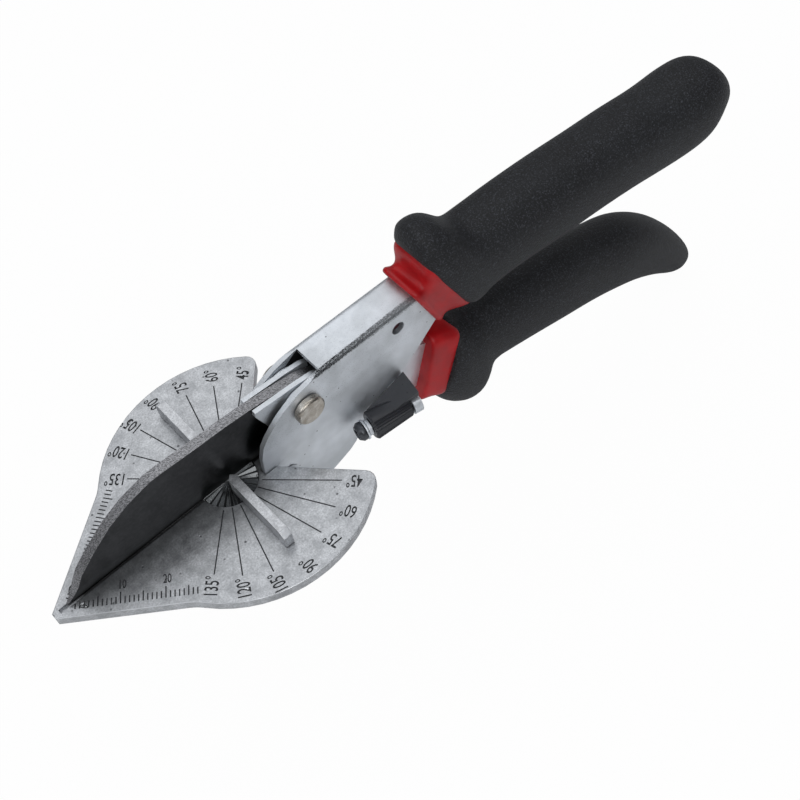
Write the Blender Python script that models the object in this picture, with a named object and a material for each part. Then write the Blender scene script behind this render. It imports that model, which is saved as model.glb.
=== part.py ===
"""Mitre shears: a hand cutter for trim and trunking, closed and locked.

The frame: +X runs from the tip of the anvil to the ends of the handles, +Y is the far side of
the blade, +Z is up, square to the face of the anvil. All sizes are in metres.

Most pieces are drawn from the protractor's centre, the point on the face of the anvil under the
blade that the fence turns about. One empty carries them all to their place over the lowest point.
"""
import math

import bmesh
import bpy
from mathutils import Matrix, Vector

MM = 0.001

# Where the protractor's centre lies, from the point under the middle of the whole tool
CENTRE_X = -58.88 * MM
CENTRE_Z = 63.37 * MM

# Gaps between pieces
REST_GAP = 0.3 * MM
RUN_GAP = 0.25 * MM
SLIDE_GAP = 0.2 * MM
OVERRUN = 4.0 * MM

# Anvil with its protractor
ANVIL_REACH = 48.2 * MM
ANVIL_TIP_WIDTH = 1.6 * MM
ANVIL_THICKNESS = 3.0 * MM
WING_RADIUS = 32.2 * MM
WING_CENTRE_X = 2.5 * MM
FRONT_EDGE_SHARE = 0.932
FRONT_EDGE_ANGLE = math.asin(FRONT_EDGE_SHARE * WING_RADIUS / (ANVIL_REACH + WING_CENTRE_X))
WING_NOTCH_RADIUS = 12.0 * MM
WING_CORNER_RADIUS = 2.6 * MM
REAR_EDGE_ANGLE = math.radians(47.5)
REAR_EDGE_X = 10.4 * MM
EDGE_GROOVE_WIDTH = 1.2 * MM
EDGE_GROOVE_DEPTH = 1.0 * MM
BOSS_RADIUS = 6.2 * MM
BOSS_DEPTH = 6.2 * MM
ROOT_END_X = 20.0 * MM
ROOT_DEPTH = 16.2 * MM
ROOT_TOP = 0.5 * MM
ROOT_SHARES = ((-0.05, 1.0), (1.0, 1.0), (1.0, 0.08), (0.62, 0.0), (0.16, 0.28), (-0.05, 0.64))

# Fence that turns on the anvil
HUB_RADIUS = 6.9 * MM
HUB_TOP = 0.35 * MM
HUB_THICKNESS = 1.8 * MM
HUB_FLUTE_DEPTH = 0.8 * MM
HUB_FLUTE_COUNT = 24
FENCE_TOP = 5.4 * MM
FENCE_WIDTH = 2.2 * MM
FENCE_POINT = 2.35 * MM
FENCE_NEAR_REACH = 23.0 * MM
FENCE_FAR_REACH = 25.4 * MM
FENCE_END_CHAMFER = 1.4 * MM
STUD_RADIUS = 2.0 * MM
STUD_END = 11.6 * MM
FENCE_WASHER_RADIUS = 4.2 * MM
FENCE_WASHER_THICKNESS = 0.6 * MM
FENCE_SPRING_THICKNESS = 0.5 * MM
FENCE_SPRING_RADIUS = 3.8 * MM
FENCE_NUT_FLATS = 6.6 * MM
FENCE_NUT_THICKNESS = 2.4 * MM

# Folded steel body: two cheeks under a web, with a tang in the upper grip
BODY_HALF_WIDTH = 5.0 * MM
BODY_SHEET = 1.3 * MM
BODY_BEND_RADIUS = 1.9 * MM
WEB_TOP = 20.0 * MM
WEB_FRONT_X = 27.3 * MM
CHEEK_FOOT_X = 7.1 * MM
CHEEK_DEPTH = 19.4 * MM
CHEEK_FRONT_SHARES = ((1.0, 1.0), (0.80, 0.96), (0.65, 0.92), (0.50, 0.855), (0.37, 0.775), (0.265, 0.685),
                      (0.16, 0.58), (0.075, 0.46), (0.02, 0.28), (0.0, 0.0))
CHEEK_HEEL_X = 33.0 * MM
CHEEK_HEEL_SHARES = ((0.0, 0.26), (0.08, 0.57), (0.21, 0.83), (0.38, 0.97), (0.54, 1.0), (0.67, 0.975),
                     (0.775, 0.92), (0.88, 0.86), (0.97, 0.77), (1.025, 0.64), (1.04, 0.45), (1.05, 0.31))
CHEEK_REAR_RISE = 7.5 * MM
CHEEK_REAR_SHARES = ((0.09, -0.64), (0.21, -0.51), (0.46, -0.33), (0.55, -0.04), (0.655, 0.31), (0.73, 0.61),
                     (0.82, 0.95), (1.0, 1.1))
CHEEK_HOLE_RADIUS = 1.75 * MM
CHEEK_HOLE_X = 49.4 * MM
CHEEK_HOLE_Z = 14.6 * MM
UPPER_TANG_TOP_END = 12.0 * MM
UPPER_TANG_BOTTOM_END = 4.8 * MM
SLOT_FRONT_GAP = 0.25 * MM

# Pivot of the lever
PIVOT_X = 21.8 * MM
PIVOT_Z = 12.3 * MM
PIVOT_RADIUS = 3.0 * MM
PIVOT_HEAD_RADIUS = 3.8 * MM
PIVOT_HEAD_THICKNESS = 2.0 * MM
PIVOT_WASHER_RADIUS = 5.2 * MM
OPENING_ANGLE = math.radians(25.0)

# Rivets that hold the anvil between the cheeks
ANVIL_RIVET_RADIUS = 1.6 * MM
ANVIL_RIVET_HEAD_RADIUS = 2.7 * MM
ANVIL_RIVET_HEAD_THICKNESS = 1.0 * MM
ANVIL_RIVET_TOP_SHARE = 0.6
ANVIL_RIVET_PLACES = ((12.6 * MM, -6.6 * MM), (15.4 * MM, -12.6 * MM))

# Blade
BLADE_THICKNESS = 2.5 * MM
BLADE_TIP_X = -44.4 * MM
BLADE_HEEL_X = 8.5 * MM
BLADE_EDGE_THICKNESS = 0.5 * MM
BLADE_BEVEL_HEIGHT = 5.0 * MM
BLADE_TANG_X = 31.0 * MM
BLADE_HEIGHT = 21.0 * MM
BLADE_SPINE_SHARES = ((0.0, 0.02), (0.012, 0.06), (0.036, 0.155), (0.078, 0.385), (0.141, 0.59),
                      (0.211, 0.785), (0.286, 0.92), (0.37, 1.0), (0.41, 1.0), (0.545, 0.967),
                      (0.63, 0.955), (0.718, 0.925), (0.806, 0.873), (0.898, 0.82), (0.965, 0.72),
                      (1.0, 0.58), (0.992, 0.40), (0.95, 0.31), (0.88, 0.25), (0.79, 0.15))
BLADE_PIN_RADIUS = 1.6 * MM
BLADE_PIN_PLACES = ((16.6 * MM, 9.2 * MM), (27.6 * MM, 9.9 * MM))

# Lever: two flanges that grip the blade, folded from one sheet with a web over the tang
LEVER_SHEET = 1.2 * MM
LEVER_NECK_X = 28.0 * MM
LEVER_CHANNEL_X = 31.0 * MM
LEVER_NOSE_X = 10.3 * MM
LEVER_NOSE_TOP = 19.3 * MM
LEVER_TANG_X = 57.0 * MM
LEVER_SEAT_X = 46.0 * MM
LEVER_SEAT_Z = 3.6 * MM
LEVER_SEAT_LENGTH = 8.0 * MM
LEVER_TOP_SHARES = ((0.005, 1.0), (0.12, 0.975), (0.25, 0.95), (0.347, 0.915), (0.41, 0.84), (0.486, 0.675),
                    (0.572, 0.46))
LEVER_TANG_DROP = 17.3 * MM
LEVER_BOTTOM_SHARES = ((0.935, -0.90), (0.81, -0.78), (0.68, -0.61), (0.57, -0.42), (0.465, -0.17),
                       (0.37, 0.09), (0.25, 0.24), (0.135, 0.33), (0.065, 0.48), (0.04, 0.67), (0.0, 0.94))
LOWER_TANG_DROP = 28.5 * MM
LOWER_TANG_TOP_SHARES = ((0.0, -0.04), (0.09, -0.16), (0.26, -0.42), (0.48, -0.61), (0.77, -0.81),
                         (1.0, -1.02))
LOWER_TANG_BOTTOM_SHARES = ((1.0, -1.26), (0.77, -1.09), (0.48, -0.93), (0.26, -0.82), (0.09, -0.67))

# Return spring between the body's web and the lever's seat
SPRING_RADIUS = 2.6 * MM
SPRING_WIRE_RADIUS = 0.4 * MM
SPRING_TURNS = 7
SPRING_POINTS_PER_TURN = 10

# Lock: a ribbed catch that turns on a screw beside the lever
LOCK_X = 34.4 * MM
LOCK_Y = -9.0 * MM
LOCK_Z = -6.2 * MM
LOCK_YAW = math.radians(9.5)
LOCK_RADIUS = 3.7 * MM
LOCK_END_RADIUS = 3.0 * MM
LOCK_LENGTH = 10.7 * MM
LOCK_CHAMFER = 0.5 * MM
LOCK_RIB_DEPTH = 0.35 * MM
LOCK_STEP_COUNT = 60
LOCK_RIB_START = math.radians(20.0)
LOCK_RIB_END = math.radians(150.0)
LOCK_WING_HEIGHT = 4.7 * MM
LOCK_WING_FRONT_HEIGHT = 1.4 * MM
LOCK_WING_FRONT = 1.4 * MM
LOCK_WING_OUTER = 1.2 * MM
LOCK_OPENING = math.radians(75.0)
LOCK_SCREW_RADIUS = 1.5 * MM
LOCK_SCREW_HEAD_RADIUS = 2.4 * MM
LOCK_SCREW_HEAD_THICKNESS = 1.8 * MM
LOCK_SCREW_TOP_SHARE = 0.7
LOCK_RECESS_SPAN = 1.3 * MM
LOCK_RECESS_WIDTH = 0.5 * MM
LOCK_RECESS_DEPTH = 0.9 * MM
LOCK_WASHER_RADIUS = 2.6 * MM
LOCK_WASHER_THICKNESS = 0.5 * MM
LOCK_BUSH_RADIUS = 2.1 * MM
LOCK_BUSH_LENGTH = 0.9 * MM
LOCK_TAB_THICKNESS = 2.2 * MM
LOCK_TAB_RADIUS = 3.0 * MM
LOCK_TAB_TOP = 2.4 * MM
LOCK_TAB_END = LOCK_LENGTH + REST_GAP + LOCK_TAB_THICKNESS

# Handles: a red sleeve on each tang and a dark grip over the sleeve
GRIP_SECTION_POWER = 2.35
SLEEVE_SECTION_POWER = 5.0
UPPER_GRIP_X = 65.5 * MM
CHEEK_REAR_LEAD = 0.5 * MM
CHEEK_REAR_X = UPPER_GRIP_X + CHEEK_REAR_LEAD
UPPER_GRIP_LENGTH = 105.0 * MM
UPPER_GRIP_Z = 14.5 * MM
GRIP_HALF_WIDTH = 10.0 * MM
GRIP_HALF_HEIGHT = 11.0 * MM
UPPER_DROP = 21.0 * MM
LOWER_GRIP_X = 62.5 * MM
LOWER_GRIP_LENGTH = 100.0 * MM
LOWER_GRIP_Z = -12.5 * MM
LOWER_DROP = 51.0 * MM
SLEEVE_HALF_WIDTH = 6.4 * MM
SLEEVE_HALF_HEIGHT = 9.0 * MM
UPPER_TANG_SHARE = 0.519
UPPER_TANG_END_X = UPPER_GRIP_X + UPPER_TANG_SHARE * UPPER_GRIP_LENGTH
LOWER_TANG_SHARE = 0.635
LOWER_TANG_END_X = LOWER_GRIP_X + LOWER_TANG_SHARE * LOWER_GRIP_LENGTH
# Each row: place along the grip, drop, tilt in degrees, half width, height over and under the centre
UPPER_GRIP_ROW_SHARES = (
    (0.0, 0.0, -25, 0.86, 1.5, 0.94),
    (0.008, 0.0, -23, 0.96, 1.8, 0.97),
    (0.024, 0.0, -20, 1.03, 2.05, 0.97),
    (0.052, 0.005, -14, 1.01, 1.86, 0.97),
    (0.086, 0.015, -8, 0.94, 1.13, 0.96),
    (0.128, 0.006, 0, 0.918, 1.01, 0.969),
    (0.214, 0.017, 5, 0.934, 1.005, 0.995),
    (0.338, 0.078, 8, 0.96, 1.01, 1.01),
    (0.462, 0.141, 9, 0.959, 0.997, 0.997),
    (0.576, 0.21, 9, 0.981, 1.009, 1.009),
    (0.69, 0.307, 10, 0.998, 1.026, 1.026),
    (0.78, 0.345, 11, 1.034, 1.063, 1.063),
    (0.848, 0.354, 16, 0.98, 1.0, 1.02),
    (0.895, 0.45, 22, 0.711, 0.702, 0.745),
    (0.928, 0.599, 28, 0.459, 0.459, 0.497),
    (0.946, 0.73, 32, 0.194, 0.194, 0.218),
)
LOWER_GRIP_ROW_SHARES = (
    (-0.01, -0.02, 20, 0.85, 0.95, 1.05),
    (0.0, -0.012, 16, 0.98, 1.0, 1.35),
    (0.022, 0.0, 9, 1.06, 1.02, 1.8),
    (0.052, 0.028, 2, 1.06, 1.02, 2.12),
    (0.078, 0.045, -2, 1.04, 1.0, 2.08),
    (0.1, 0.057, -3, 0.98, 1.0, 1.75),
    (0.12, 0.066, -2, 0.93, 1.0, 1.15),
    (0.195, 0.094, 12, 0.891, 0.99, 1.03),
    (0.295, 0.149, 16, 0.877, 1.02, 1.02),
    (0.415, 0.212, 18, 0.878, 1.045, 1.045),
    (0.535, 0.286, 21, 0.863, 1.019, 1.019),
    (0.635, 0.361, 27, 0.871, 1.0, 1.0),
    (0.735, 0.49, 35, 0.801, 0.873, 0.873),
    (0.828, 0.665, 42, 0.701, 0.692, 0.692),
    (0.897, 0.828, 46, 0.594, 0.527, 0.527),
    (0.94, 0.93, 48, 0.422, 0.349, 0.349),
    (0.96, 0.975, 49, 0.19, 0.158, 0.158),
)
UPPER_COLLAR_ROW_SHARES = (
    (-0.077, 0.0, -22, 1.0, 0.94, 1.03),
    (-0.058, 0.0, -22, 1.06, 0.99, 1.03),
    (-0.053, 0.0, -22, 1.0, 0.94, 1.0),
    (-0.039, 0.0, -22, 1.04, 1.0, 1.03),
    (-0.022, 0.0, -23, 1.1, 1.22, 1.05),
    (-0.006, 0.0, -25, 1.22, 1.6, 1.1),
)
UPPER_CORE_ROW_SHARES = (
    (-0.005, 0.0, -25, 1.02, 1.05, 0.92),
    (0.128, 0.012, 0, 1.02, 0.98, 0.95),
    (0.338, 0.08, 8, 1.05, 0.94, 0.94),
    (0.57, 0.21, 9, 1.05, 0.88, 0.88),
)
LOWER_COLLAR_ROW_SHARES = (
    (-0.075, -0.06, 18, 1.0, 1.28, 1.15),
    (-0.052, -0.045, 18, 1.06, 1.28, 1.2),
    (-0.047, -0.042, 18, 1.0, 1.24, 1.16),
    (-0.03, -0.03, 19, 1.06, 1.24, 1.25),
    (-0.014, -0.02, 20, 1.2, 1.22, 1.3),
)
LOWER_CORE_ROW_SHARES = (
    (-0.013, -0.02, 20, 0.96, 0.98, 0.98),
    (0.195, 0.093, 12, 0.94, 0.92, 0.92),
    (0.475, 0.26, 19, 0.94, 0.9, 0.9),
    (0.655, 0.4, 29, 0.9, 0.72, 0.72),
)
RING_POINTS = 28


def material(name, colour, roughness, metallic=0.0):
    """Make a plain surface finish."""
    made = bpy.data.materials.new(name)
    made.use_nodes = True
    shader = made.node_tree.nodes["Principled BSDF"]
    shader.inputs["Base Color"].default_value = (*colour, 1.0)
    shader.inputs["Roughness"].default_value = roughness
    shader.inputs["Metallic"].default_value = metallic
    return made


def piece(name, mesh_data, finish):
    """Turn a bmesh into a named object with smooth round sides."""
    bmesh.ops.remove_doubles(mesh_data, verts=mesh_data.verts, dist=MM * 0.001)
    bmesh.ops.recalc_face_normals(mesh_data, faces=mesh_data.faces)
    mesh = bpy.data.meshes.new(name)
    mesh_data.to_mesh(mesh)
    mesh_data.free()
    mesh.shade_smooth()
    mesh.set_sharp_from_angle(angle=math.radians(35))
    made = bpy.data.objects.new(name, mesh)
    bpy.context.collection.objects.link(made)
    if finish:
        made.data.materials.append(finish)
    return made


def guide(name, mesh_data):
    """Make an object that only cuts others."""
    made = piece(name, mesh_data, None)
    made.hide_render = True
    made.display_type = "WIRE"
    return made


def combine(target, tool, operation):
    """Cut, join or intersect the target with a tool."""
    step = target.modifiers.new(tool.name, "BOOLEAN")
    step.operation = operation
    step.object = tool
    step.solver = "EXACT"


def axis_point(first, second, along, depth):
    """Place a flat point (first, second) at a depth along an axis."""
    if along == "Y":
        return Vector((first, depth, second))
    if along == "X":
        return Vector((depth, first, second))
    return Vector((first, second, depth))


def prism(points, along, low, high):
    """Extrude an outline along one axis. An outline for Y lies in X and Z, one for X in Y and Z."""
    made = bmesh.new()
    base = [made.verts.new(axis_point(a, b, along, low)) for a, b in points]
    face = made.faces.new(base)
    swept = bmesh.ops.extrude_face_region(made, geom=[face])
    moved = [item for item in swept["geom"] if isinstance(item, bmesh.types.BMVert)]
    bmesh.ops.translate(made, verts=moved, vec=axis_point(0, 0, along, high - low))
    return made


def block(low, high):
    """A box between two corners."""
    outline = ((low[0], low[2]), (high[0], low[2]), (high[0], high[2]), (low[0], high[2]))
    return prism(outline, "Y", low[1], high[1])


def turned(profile, segments, frame):
    """Turn (radius, height) points about the frame's own Z axis."""
    made = bmesh.new()
    rings = []
    for radius, height in profile:
        if radius == 0:
            rings.append([made.verts.new((0, 0, height))])
        else:
            turns = [math.tau * k / segments for k in range(segments)]
            places = [(radius * math.cos(t), radius * math.sin(t), height) for t in turns]
            rings.append([made.verts.new(place) for place in places])
    for lower, upper in zip(rings, rings[1:]):
        for k in range(segments):
            following = (k + 1) % segments
            corners = [lower[k % len(lower)], lower[following % len(lower)],
                       upper[following % len(upper)], upper[k % len(upper)]]
            made.faces.new(list(dict.fromkeys(corners)))
    for ring in (rings[0], rings[-1]):
        if len(ring) > 1:
            made.faces.new(ring)
    bmesh.ops.transform(made, matrix=frame, verts=made.verts)
    return made


def across(x, z, y=0.0):
    """A frame whose Z axis points along +Y, for pins that cross the tool."""
    return Matrix.Translation((x, y, z)) @ Matrix.Rotation(-math.pi / 2, 4, "X")


def pin(radius, low, high, segments, frame):
    """A plain round bar along the frame's Z axis."""
    return turned(((0, low), (radius, low), (radius, high), (0, high)), segments, frame)


def cut_hole(target, name, radius, frame, low, high, segments=24):
    """Drill a round hole through the target."""
    combine(target, guide(name, pin(radius, low, high, segments, frame)), "DIFFERENCE")


def loft(rings):
    """Skin a row of rings that have equal counts of points, and close both ends."""
    made = bmesh.new()
    loops = [[made.verts.new(point) for point in ring] for ring in rings]
    count = len(rings[0])
    for first, second in zip(loops, loops[1:]):
        for k in range(count):
            following = (k + 1) % count
            made.faces.new((first[k], first[following], second[following], second[k]))
    made.faces.new(loops[0])
    made.faces.new(loops[-1])
    return made


def section(x, z, tilt, half_width, over, under, power, grow):
    """One rounded ring of a handle, leaning by the tilt."""
    up = Vector((math.sin(tilt), 0, math.cos(tilt)))
    centre = Vector((x, 0, z))
    ring = []
    for k in range(RING_POINTS):
        turn = math.tau * k / RING_POINTS
        side = math.copysign(abs(math.cos(turn)) ** (2 / power), math.cos(turn))
        rise = math.copysign(abs(math.sin(turn)) ** (2 / power), math.sin(turn))
        height = (over if rise > 0 else under) + grow
        ring.append(centre + Vector((0, (half_width + grow) * side, 0)) + up * (height * rise))
    return ring


def handle_rings(rows, place, half_width, half_height, power, grow=0.0):
    """Turn a table of shares into the rings of a grip or a sleeve."""
    start_x, start_z, length, drop = place
    rings = []
    for along, fall, tilt, width, over, under in rows:
        rings.append(section(start_x + length * along, start_z - drop * fall, math.radians(tilt),
                             half_width * width, half_height * over, half_height * under, power, grow))
    return rings


def arc(centre, radius, start, end, steps):
    """Points along an arc, both ends included."""
    turns = [start + (end - start) * k / steps for k in range(steps + 1)]
    return [(centre[0] + radius * math.cos(t), centre[1] + radius * math.sin(t)) for t in turns]


def angle_of(point, centre):
    """The direction from a centre to a point."""
    return math.atan2(point[1] - centre[1], point[0] - centre[0])


def round_on_line(start, angle, side, line_offset, reach, centre):
    """The centre of a circle that lies off a line and at a reach from another centre."""
    direction = Vector((math.cos(angle), math.sin(angle)))
    normal = Vector((-math.sin(angle), math.cos(angle))) * side
    base = Vector(start) + normal * line_offset - Vector(centre)
    half = base.dot(direction)
    root = math.sqrt(half * half - base.length_squared + reach * reach)
    along = -half + root if side < 0 or angle > FRONT_EDGE_ANGLE else -half - root
    return Vector(centre) + base + direction * along


def anvil_outline():
    """The anvil from above: a straight nose that swells through a notch into a round wing."""
    wing = (WING_CENTRE_X, 0.0)
    tip = (-ANVIL_REACH, ANVIL_TIP_WIDTH / 2)
    reach = WING_RADIUS + WING_NOTCH_RADIUS
    notch = round_on_line(tip, FRONT_EDGE_ANGLE, 1, WING_NOTCH_RADIUS, reach, wing)
    rear = (REAR_EDGE_X, BODY_HALF_WIDTH + REST_GAP)
    reach = WING_RADIUS - WING_CORNER_RADIUS
    corner = round_on_line(rear, REAR_EDGE_ANGLE, 1, WING_CORNER_RADIUS, reach, wing)
    wing_start = angle_of(notch, wing)
    wing_end = angle_of(corner, wing)
    half = [tip]
    half += arc(notch, WING_NOTCH_RADIUS, FRONT_EDGE_ANGLE - math.pi / 2, wing_start - math.pi, 4)
    half += arc(wing, WING_RADIUS, wing_start, wing_end, 16)[1:]
    half += arc(corner, WING_CORNER_RADIUS, wing_end, REAR_EDGE_ANGLE - math.pi / 2, 4)[1:]
    half.append(rear)
    return half + [(x, -y) for x, y in reversed(half)]


def shares_to_points(shares, low_x, high_x, height):
    """Scale an outline given in shares of a length and a height."""
    return [(low_x + (high_x - low_x) * a, height * b) for a, b in shares]


def upper_tang_space(grow):
    """Room for the body inside the upper sleeve, from the side."""
    end = UPPER_TANG_END_X + grow
    rear = shares_to_points(CHEEK_REAR_SHARES, CHEEK_HEEL_X, CHEEK_REAR_X, CHEEK_REAR_RISE)
    tang = [(end, UPPER_TANG_BOTTOM_END - grow), (end, UPPER_TANG_TOP_END + grow),
            (CHEEK_REAR_X, WEB_TOP + grow), (CHEEK_HEEL_X, WEB_TOP + grow)]
    return [(x + grow, z - grow) for x, z in rear] + tang


def body_outline():
    """The body from the side."""
    front = shares_to_points(CHEEK_FRONT_SHARES, CHEEK_FOOT_X, WEB_FRONT_X, WEB_TOP)
    heel = shares_to_points(CHEEK_HEEL_SHARES, CHEEK_FOOT_X, CHEEK_HEEL_X, -CHEEK_DEPTH)
    rear = shares_to_points(CHEEK_REAR_SHARES, CHEEK_HEEL_X, CHEEK_REAR_X, CHEEK_REAR_RISE)
    tang = [(UPPER_TANG_END_X, UPPER_TANG_BOTTOM_END), (UPPER_TANG_END_X, UPPER_TANG_TOP_END),
            (CHEEK_REAR_X, WEB_TOP)]
    return front + heel + rear + tang


def lower_tang_top():
    """The upper edge of the lever's tang."""
    return shares_to_points(LOWER_TANG_TOP_SHARES, LEVER_TANG_X, LOWER_TANG_END_X, LOWER_TANG_DROP)


def lower_tang_bottom():
    """The lower edge of the lever's tang, from its end forward."""
    return shares_to_points(LOWER_TANG_BOTTOM_SHARES, LEVER_TANG_X, LOWER_TANG_END_X, LOWER_TANG_DROP)


def lever_top_edge():
    """The lever's upper edge from the nose to the tang's end, with a flat seat for the spring."""
    nose = shares_to_points(LEVER_TOP_SHARES, LEVER_NOSE_X, LEVER_TANG_X, LEVER_NOSE_TOP)
    half = LEVER_SEAT_LENGTH / 2
    seat = [(LEVER_SEAT_X - half, LEVER_SEAT_Z), (LEVER_SEAT_X + half, LEVER_SEAT_Z)]
    return nose + seat + lower_tang_top()


def lever_outline():
    """The lever from the side."""
    belly = []
    for a, b in LEVER_BOTTOM_SHARES:
        height = LEVER_TANG_DROP if b < 0 else LEVER_NOSE_TOP
        belly.append((LEVER_NOSE_X + (LEVER_TANG_X - LEVER_NOSE_X) * a, height * b))
    return lever_top_edge() + lower_tang_bottom() + belly


def make_anvil(finish):
    """Cast anvil: a plate with wings, a root between the cheeks and a seat for the fence."""
    made = piece("anvil", prism(anvil_outline(), "Z", -ANVIL_THICKNESS, 0), finish)
    down = Matrix.Identity(4)
    boss = guide("boss_shape", pin(BOSS_RADIUS, -BOSS_DEPTH, -ANVIL_THICKNESS / 2, 32, down))
    combine(made, boss, "UNION")
    inner = BODY_HALF_WIDTH - BODY_SHEET - REST_GAP
    root = [(CHEEK_FOOT_X + (ROOT_END_X - CHEEK_FOOT_X) * a, -ROOT_DEPTH + (ROOT_DEPTH - ROOT_TOP) * b)
            for a, b in ROOT_SHARES]
    combine(made, guide("root_shape", prism(root, "Y", -inner, inner)), "UNION")
    for side in (-1, 1):
        near, far = sorted((side * inner, side * (BODY_HALF_WIDTH + REST_GAP)))
        slot = block((CHEEK_FOOT_X - SLOT_FRONT_GAP, near, -ROOT_DEPTH - OVERRUN),
                     (ROOT_END_X + OVERRUN, far, OVERRUN))
        combine(made, guide("cheek_slot", slot), "DIFFERENCE")
    recess_floor = HUB_TOP + HUB_THICKNESS + SLIDE_GAP
    cut_hole(made, "hub_recess", HUB_RADIUS + RUN_GAP, down, -recess_floor, OVERRUN, 40)
    cut_hole(made, "stud_hole", STUD_RADIUS + RUN_GAP, down, -BOSS_DEPTH - OVERRUN, OVERRUN, 20)
    groove = block((-ANVIL_REACH + ANVIL_TIP_WIDTH, -EDGE_GROOVE_WIDTH / 2, -EDGE_GROOVE_DEPTH),
                   (-HUB_RADIUS + RUN_GAP, EDGE_GROOVE_WIDTH / 2, OVERRUN))
    combine(made, guide("edge_groove", groove), "DIFFERENCE")
    for x, z in ANVIL_RIVET_PLACES:
        cut_hole(made, "anvil_rivet_hole", ANVIL_RIVET_RADIUS + RUN_GAP, across(x, z), -inner - OVERRUN,
                 inner + OVERRUN, 16)
    return made


def make_fence(finish):
    """Two-armed fence on a fluted hub, with the stud that holds it down."""
    top = -HUB_TOP
    made = piece("fence", fluted_hub(top), finish)
    stud_top = top - HUB_THICKNESS + REST_GAP
    stud = guide("stud_shape", pin(STUD_RADIUS, -STUD_END, stud_top, 20, Matrix.Identity(4)))
    combine(made, stud, "UNION")
    half = FENCE_WIDTH / 2
    foot = top - HUB_THICKNESS / 2
    for side, reach in ((-1, FENCE_NEAR_REACH), (1, FENCE_FAR_REACH)):
        inner = side * (FENCE_POINT - REST_GAP)
        profile = ((inner, foot), (side * (HUB_RADIUS - REST_GAP), foot),
                   (side * (HUB_RADIUS - REST_GAP), REST_GAP), (side * reach, REST_GAP),
                   (side * reach, FENCE_TOP - FENCE_END_CHAMFER),
                   (side * (reach - FENCE_END_CHAMFER), FENCE_TOP), (inner, FENCE_TOP))
        arm = guide("arm_shape", prism(profile, "X", -FENCE_WIDTH, FENCE_WIDTH))
        nose = prism(((0, side * FENCE_POINT), (half, side * (FENCE_POINT + half)),
                      (half, side * (reach + OVERRUN)), (-half, side * (reach + OVERRUN)),
                      (-half, side * (FENCE_POINT + half))), "Z", -OVERRUN, FENCE_TOP + OVERRUN)
        combine(arm, guide("arm_nose", nose), "INTERSECT")
        combine(made, arm, "UNION")
    return made


def fluted_hub(top):
    """The hub's solid: flutes that deepen from the middle to the rim, over a plain wall and floor."""
    made = bmesh.new()
    middle = made.verts.new((0, 0, top))
    rim = []
    for k in range(HUB_FLUTE_COUNT * 2):
        turn = math.pi * (k + 0.5) / HUB_FLUTE_COUNT
        place = (HUB_RADIUS * math.cos(turn), HUB_RADIUS * math.sin(turn))
        level = top - HUB_FLUTE_DEPTH * (k % 2)
        rim.append((made.verts.new((*place, level)), made.verts.new((*place, top - HUB_THICKNESS))))
    for first, second in zip(rim, rim[1:] + rim[:1]):
        made.faces.new((middle, first[0], second[0]))
        made.faces.new((first[0], first[1], second[1], second[0]))
    made.faces.new([low for high, low in rim])
    return made


def make_fence_fasteners(steel, dark):
    """Washer, dished spring washer and nut on the fence's stud, under the anvil."""
    up = Matrix.Identity(4)
    hole = STUD_RADIUS + SLIDE_GAP
    level = -BOSS_DEPTH - SLIDE_GAP
    under = level - FENCE_WASHER_THICKNESS
    washer = turned(((hole, level), (FENCE_WASHER_RADIUS, level), (FENCE_WASHER_RADIUS, under),
                     (hole, under), (hole, level)), 24, up)
    made = [ring_piece("fence_washer", washer, steel)]
    level = under - SLIDE_GAP
    dish = FENCE_SPRING_THICKNESS
    spring = turned(((hole, level), (FENCE_SPRING_RADIUS, level - dish),
                     (FENCE_SPRING_RADIUS, level - 2 * dish), (hole, level - dish), (hole, level)), 24, up)
    made.append(ring_piece("fence_spring_washer", spring, dark))
    level -= 2 * dish + SLIDE_GAP
    nut = hexagon_nut(FENCE_NUT_FLATS, level - FENCE_NUT_THICKNESS, level)
    made.append(piece("fence_nut", nut, steel))
    low = level - FENCE_NUT_THICKNESS - OVERRUN
    cut_hole(made[-1], "fence_nut_hole", hole, up, low, level + OVERRUN, 20)
    return made


def hexagon_nut(flats, low, high):
    """A six-sided prism about Z."""
    reach = flats / math.sqrt(3)
    corners = [(reach * math.cos(math.tau * k / 6), reach * math.sin(math.tau * k / 6)) for k in range(6)]
    return prism(corners, "Z", low, high)


def ring_piece(name, mesh_data, finish):
    """A turned ring whose profile ends where it starts: the two flat end faces are left out."""
    caps = [face for face in mesh_data.faces if len(face.verts) > 4]
    bmesh.ops.delete(mesh_data, geom=caps, context="FACES_ONLY")
    return piece(name, mesh_data, finish)


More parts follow.
